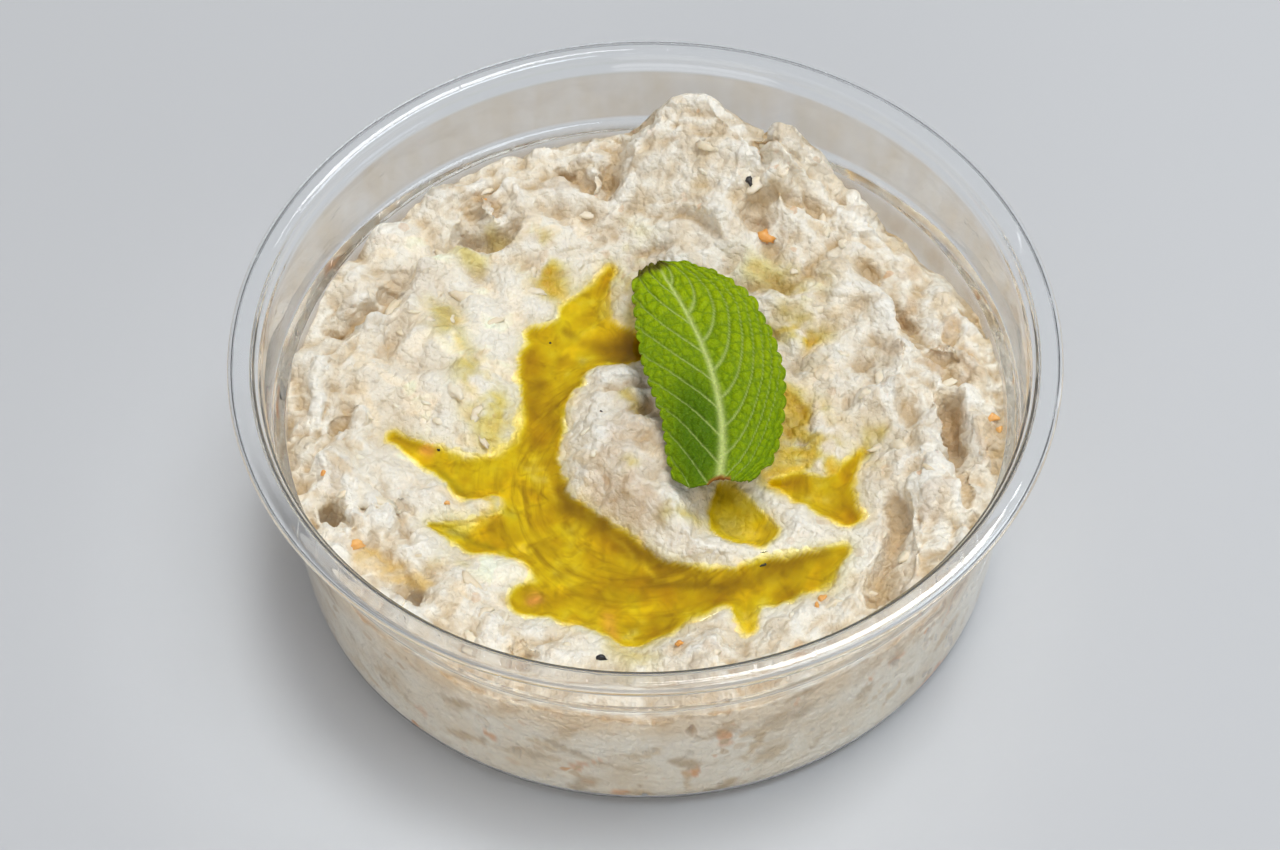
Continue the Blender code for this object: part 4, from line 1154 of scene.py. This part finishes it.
def leaf_plan(t, v):
    """Places of the blade's points seen from above, its half width, its rim and its teeth."""
    across, right = np.abs(v), v > 0
    spine, run = leaf_spine(t)
    share, left_width, right_width = np.array(LEAF_STATIONS).T
    width = np.where(right, np.interp(t, share, right_width), np.interp(t, share, left_width))
    tooth = np.abs(np.sin(math.pi * (LEAF_TEETH * t ** 1.08 + 0.3)))
    rim = across ** 7
    width = width + rim * (0.75 * np.sqrt(tooth) - 0.5)
    back = np.where(right, LEAF_LOBES[1], LEAF_LOBES[0]) * np.sin(math.pi * across) * (1 - t) ** 5
    x = spine[..., 0] + run[..., 1] * v * width - run[..., 0] * back
    y = spine[..., 1] - run[..., 0] * v * width - run[..., 1] * back
    return x, y, width, rim, tooth


def leaf_veins(t, v, width):
    """Millimetres to the nearest side vein, and the weights of side veins and midrib.

    Side veins leave the midrib and bend to the tip, more so on the right half.
    """
    across, right = np.abs(v), v > 0
    shift = np.where(right, 0.08 * across + 0.62 * across ** 2.1, 0.34 * across ** 1.05)
    phase = (t - shift) * LEAF_VEINS + np.where(right, 0.15, 0.55)
    gap = np.abs(phase - np.round(phase)) * LEAF_LENGTH / LEAF_VEINS
    gap = gap * np.where(right, 0.62, 0.8)
    vein = np.exp(-(gap / 0.17) ** 2) * smooth_step(across * width, 0.1, 0.5)
    vein = vein * (1 - 0.55 * across) * (phase > -1.4)
    midrib = np.exp(-(across * width / (0.62 - 0.42 * t)) ** 2)
    return gap, vein, midrib


def make_leaf():
    """The mint leaf: quilted between its veins, its teeth rounded, its cut end brown, with painted
    light and shade in its colours.
    """
    t = np.linspace(0, 1, LEAF_ROWS + 1)[:, None] * np.ones(LEAF_COLUMNS + 1)
    v = np.linspace(-1, 1, LEAF_COLUMNS + 1) * np.ones((LEAF_ROWS + 1, 1))
    v = np.sign(v) * np.abs(v) ** 0.85
    across = np.abs(v)
    x, y, width, rim, tooth = leaf_plan(t, v)
    gap, vein, midrib = leaf_veins(t, v, width)
    place = np.stack([t * LEAF_LENGTH, v * width + 40, np.zeros_like(t)], axis=-1)
    blade = place.reshape(-1, 3)
    bend = [0.5 * solid_noise(blade, 2.4, seed).reshape(t.shape) for seed in (101, 102)]
    walls = cell_walls(place[..., 0] + bend[0], place[..., 1] + bend[1], 1.75, 103)
    small = cell_walls(place[..., 0] + bend[1], place[..., 1] + bend[0], 0.8, 104)
    quilt = smooth_step(walls, 0.0, 0.55) * smooth_step(gap, 0.0, 0.5)
    pillow = 0.3 * np.sqrt(np.clip(gap / 2.0, 0, 1)) * smooth_step(across, 0.0, 0.3)
    curl = 0.5 * solid_noise(blade, 9.0, 105).reshape(t.shape) * across ** 2
    upper = (leaf_height(t, v) + LEAF_THICKNESS - 0.15 + pillow + 0.34 * quilt
             + 0.06 * smooth_step(small, 0, 0.5) + curl - 0.1 * midrib)
    lower = upper - 0.3 - 0.3 * midrib
    points = np.concatenate([np.stack([x, y, z], -1).reshape(-1, 3) for z in (upper, lower)])
    quads = np.array(grid_faces(*t.shape))
    faces = quads[:, ::-1].tolist() + (quads + t.size).tolist()
    edge = grid_edge(*t.shape)
    after = np.roll(edge, -1)
    faces += np.stack([edge, after, after + t.size, edge + t.size], 1).tolist()
    piece = make_piece("mint_blade", points, faces, ["mint_leaf"])

    cloud = solid_noise(blade, 6.0, 106).reshape(t.shape)
    green = tone(LEAF_GREEN) * np.ones((t.size, 1))
    for color, weight in (
            # Painted light: lighter toward the tip and the right half.
            (LEAF_PAINTED_LIGHT, 0.5 * smooth_step(t + 0.2 * v + 0.3 * cloud, 0.35, 1.0)),
            # Painted shade: the lower left, which dips away from the light, the grooves between
            # quilted cells, and along the side veins.
            (LEAF_PAINTED_SHADE,
             0.85 * smooth_step(1.0 - np.hypot((t - 0.22) / 0.42, (v + 0.4) / 0.7), 0, 0.7)),
            (LEAF_PAINTED_SHADE, 0.5 * (1 - smooth_step(walls, 0.02, 0.3))),
            (LEAF_PAINTED_SHADE, 0.35 * (1 - smooth_step(gap, 0.15, 0.7))),
            (LEAF_NET, 0.34 * (1 - smooth_step(walls, 0.0, 0.09))),
            (LEAF_VEIN, 0.75 * vein),
            (LEAF_VEIN, midrib * smooth_step(1.02 - t, 0.0, 0.12)),
            (LEAF_GREEN, 0.35 * rim * (1 - tooth)),
            (LEAF_RIM, 0.8 * smooth_step(t, 0.955, 0.985) * (v < 0.5)),
            (LEAF_RIM, 0.5 * rim * smooth_step(t, 0.7, 0.9) * (v < 0) * (tooth < 0.5)),
            (LEAF_CUT, smooth_step(0.02 - t, 0.0, 0.02) * (across * width < 1.6))):
        green = toward(green, color, np.clip(weight, 0, 1).ravel())
    # The underside takes the top's colours 10% darker, as painted shade.
    set_colors(piece, "tint", np.clip(np.concatenate([green, green * 0.9]), 0, 1))
    set_values(piece, "blade", np.concatenate([blade, blade]))
    piece.data.materials.append(leaf_material())


def leaf_material():
    """Fresh green, its finest veins in the bump, a little light shining through."""
    material, tree, shader = new_material("mint_green")
    blade = attribute(tree, "blade", "Vector")
    grain = noise_value(tree, blade, 2.6, 3.0, 0.6)
    color = mix_colors(tree, 1.0, attribute(tree, "tint", "Color"),
                       ramp(tree, grain, 0.3, 0.7, 0.84, 1.14), "MULTIPLY")
    walls = add_node(tree, "ShaderNodeTexVoronoi", {"Vector": blade, "Scale": 1.9},
                     feature="DISTANCE_TO_EDGE").outputs["Distance"]
    set_inputs(tree, shader, {
        "Base Color": color, "Normal": bumped(tree, ramp(tree, walls, 0.0, 0.3), 0.5, 0.0002),
        "Roughness": 0.5, "Subsurface Weight": 0.12, "Subsurface Radius": (0.6, 1.0, 0.1),
        "Subsurface Scale": 0.0005, "Specular IOR Level": 0.12})
    return material


# The stage, in metres.
FLOOR_REACH = 3.0
FLOOR_GAP = 0.0002
FLOOR_GREY = (0.57, 0.57, 0.575, 1.0)
SKY_COLOR = (0.92, 0.95, 1.0, 1.0)
LAMP_DISTANCE = 1.1
LAMP_RUN = Vector((0.55, 0.44, -0.22))   # the way that the long sides of the lamps run
LAMPS = [                # name, azimuth and elevation in degrees, length, width, power, colour
    ("key_lamp", 55, 68, 0.36, 0.36, 4.8, (0.98, 0.99, 1.0)),
    ("sky_lamp", -2, 64, 0.9, 0.24, 4.3, (0.84, 0.92, 1.0)),
    ("side_lamp", -20, 22, 0.4, 0.4, 0.6, (0.9, 0.95, 1.0)),
    ("front_lamp", 255, 24, 0.8, 0.8, 2.9, (1.0, 0.98, 0.96)),
    ("fill_lamp", 190, 50, 0.8, 0.8, 1.0, (1.0, 0.98, 0.96)),
]


def make_stage():
    """A pale floor, soft lamps that face the tub, and an even studio round them."""
    bm = bmesh.new()
    bmesh.ops.create_grid(bm, x_segments=1, y_segments=1, size=FLOOR_REACH)
    mesh = bpy.data.meshes.new("floor")
    bm.to_mesh(mesh)
    bm.free()
    floor = bpy.data.objects.new("floor", mesh)
    floor.location.z = -FLOOR_GAP
    bpy.context.scene.collection.objects.link(floor)
    material, tree, shader = new_material("floor_paint")
    set_inputs(tree, shader, {"Base Color": FLOOR_GREY, "Roughness": 0.7})
    floor.data.materials.append(material)

    for name, azimuth, elevation, length, width, power, color in LAMPS:
        lamp = bpy.data.lights.new(name, "AREA")
        lamp.shape, lamp.size, lamp.size_y = "RECTANGLE", length, width
        lamp.energy, lamp.color = power, color
        holder = bpy.data.objects.new(name, lamp)
        a, e = math.radians(azimuth), math.radians(elevation)
        place = Vector((math.cos(a) * math.cos(e), math.sin(a) * math.cos(e), math.sin(e)))
        across = place.cross(LAMP_RUN).normalized()
        facing = Matrix((across.cross(place), across, place)).transposed()
        holder.location = place * LAMP_DISTANCE
        holder.rotation_euler = facing.to_euler()
        bpy.context.scene.collection.objects.link(holder)
    world = bpy.data.worlds.new("studio")
    world.use_nodes = True
    tree = world.node_tree
    height = add_node(tree, "ShaderNodeSeparateXYZ", {
        0: add_node(tree, "ShaderNodeTexCoord").outputs["Generated"]}).outputs["Z"]
    set_inputs(tree, tree.nodes["Background"], {
        "Color": SKY_COLOR, "Strength": ramp(tree, height, 0.05, 0.5, 0.5, 0.23)})
    bpy.context.scene.world = world
    bpy.context.scene.view_settings.view_transform = "Standard"


CAMERA_ELEVATION = 0.89532   # radians above the rim's plane
CAMERA_ROLL = -0.02182
CAMERA_DISTANCE = 0.5
CAMERA_TARGET = Vector((-0.00087, -0.01491, 0.0))
CAMERA_LENS = 99.62


def make_camera():
    back = Vector((0, -math.cos(CAMERA_ELEVATION), math.sin(CAMERA_ELEVATION)))
    place = back * CAMERA_DISTANCE
    forward = (CAMERA_TARGET - place).normalized()
    right = forward.cross(Vector((0, 0, 1))).normalized()
    up = right.cross(forward)
    c, s = math.cos(CAMERA_ROLL), math.sin(CAMERA_ROLL)
    pose = Matrix((c * right + s * up, c * up - s * right, -forward)).transposed().to_4x4()
    pose.translation = place + Vector((0, 0, HEIGHT * MM))
    data = bpy.data.cameras.new("camera")
    data.lens, data.sensor_width, data.clip_start = CAMERA_LENS, 36.0, 0.01
    camera = bpy.data.objects.new("camera", data)
    camera.matrix_world = pose
    bpy.context.scene.collection.objects.link(camera)
    bpy.context.scene.camera = camera


make_tub()
hummus_top = make_hummus()
make_bits("carrot_flecks", CARROT + SMALL_CARROT, hummus_top, CARROT_COLORS, 111)
make_bits("black_seeds", SEEDS + SPECKS, hummus_top, SEED_COLORS, 112)
make_bits("chickpea_shreds", shred_places(), hummus_top, SHRED_COLORS, 113, 0.5, 0.2)
clear_oil = oil_material()
for pool_node, pool_name in (("oil_pool", "oil_main"), ("oil_pocket_front", "oil_front"),
                             ("oil_pocket_side", "oil_side")):
    make_oil(pool_node, pool_name, clear_oil)
make_leaf()
make_stage()
make_camera()
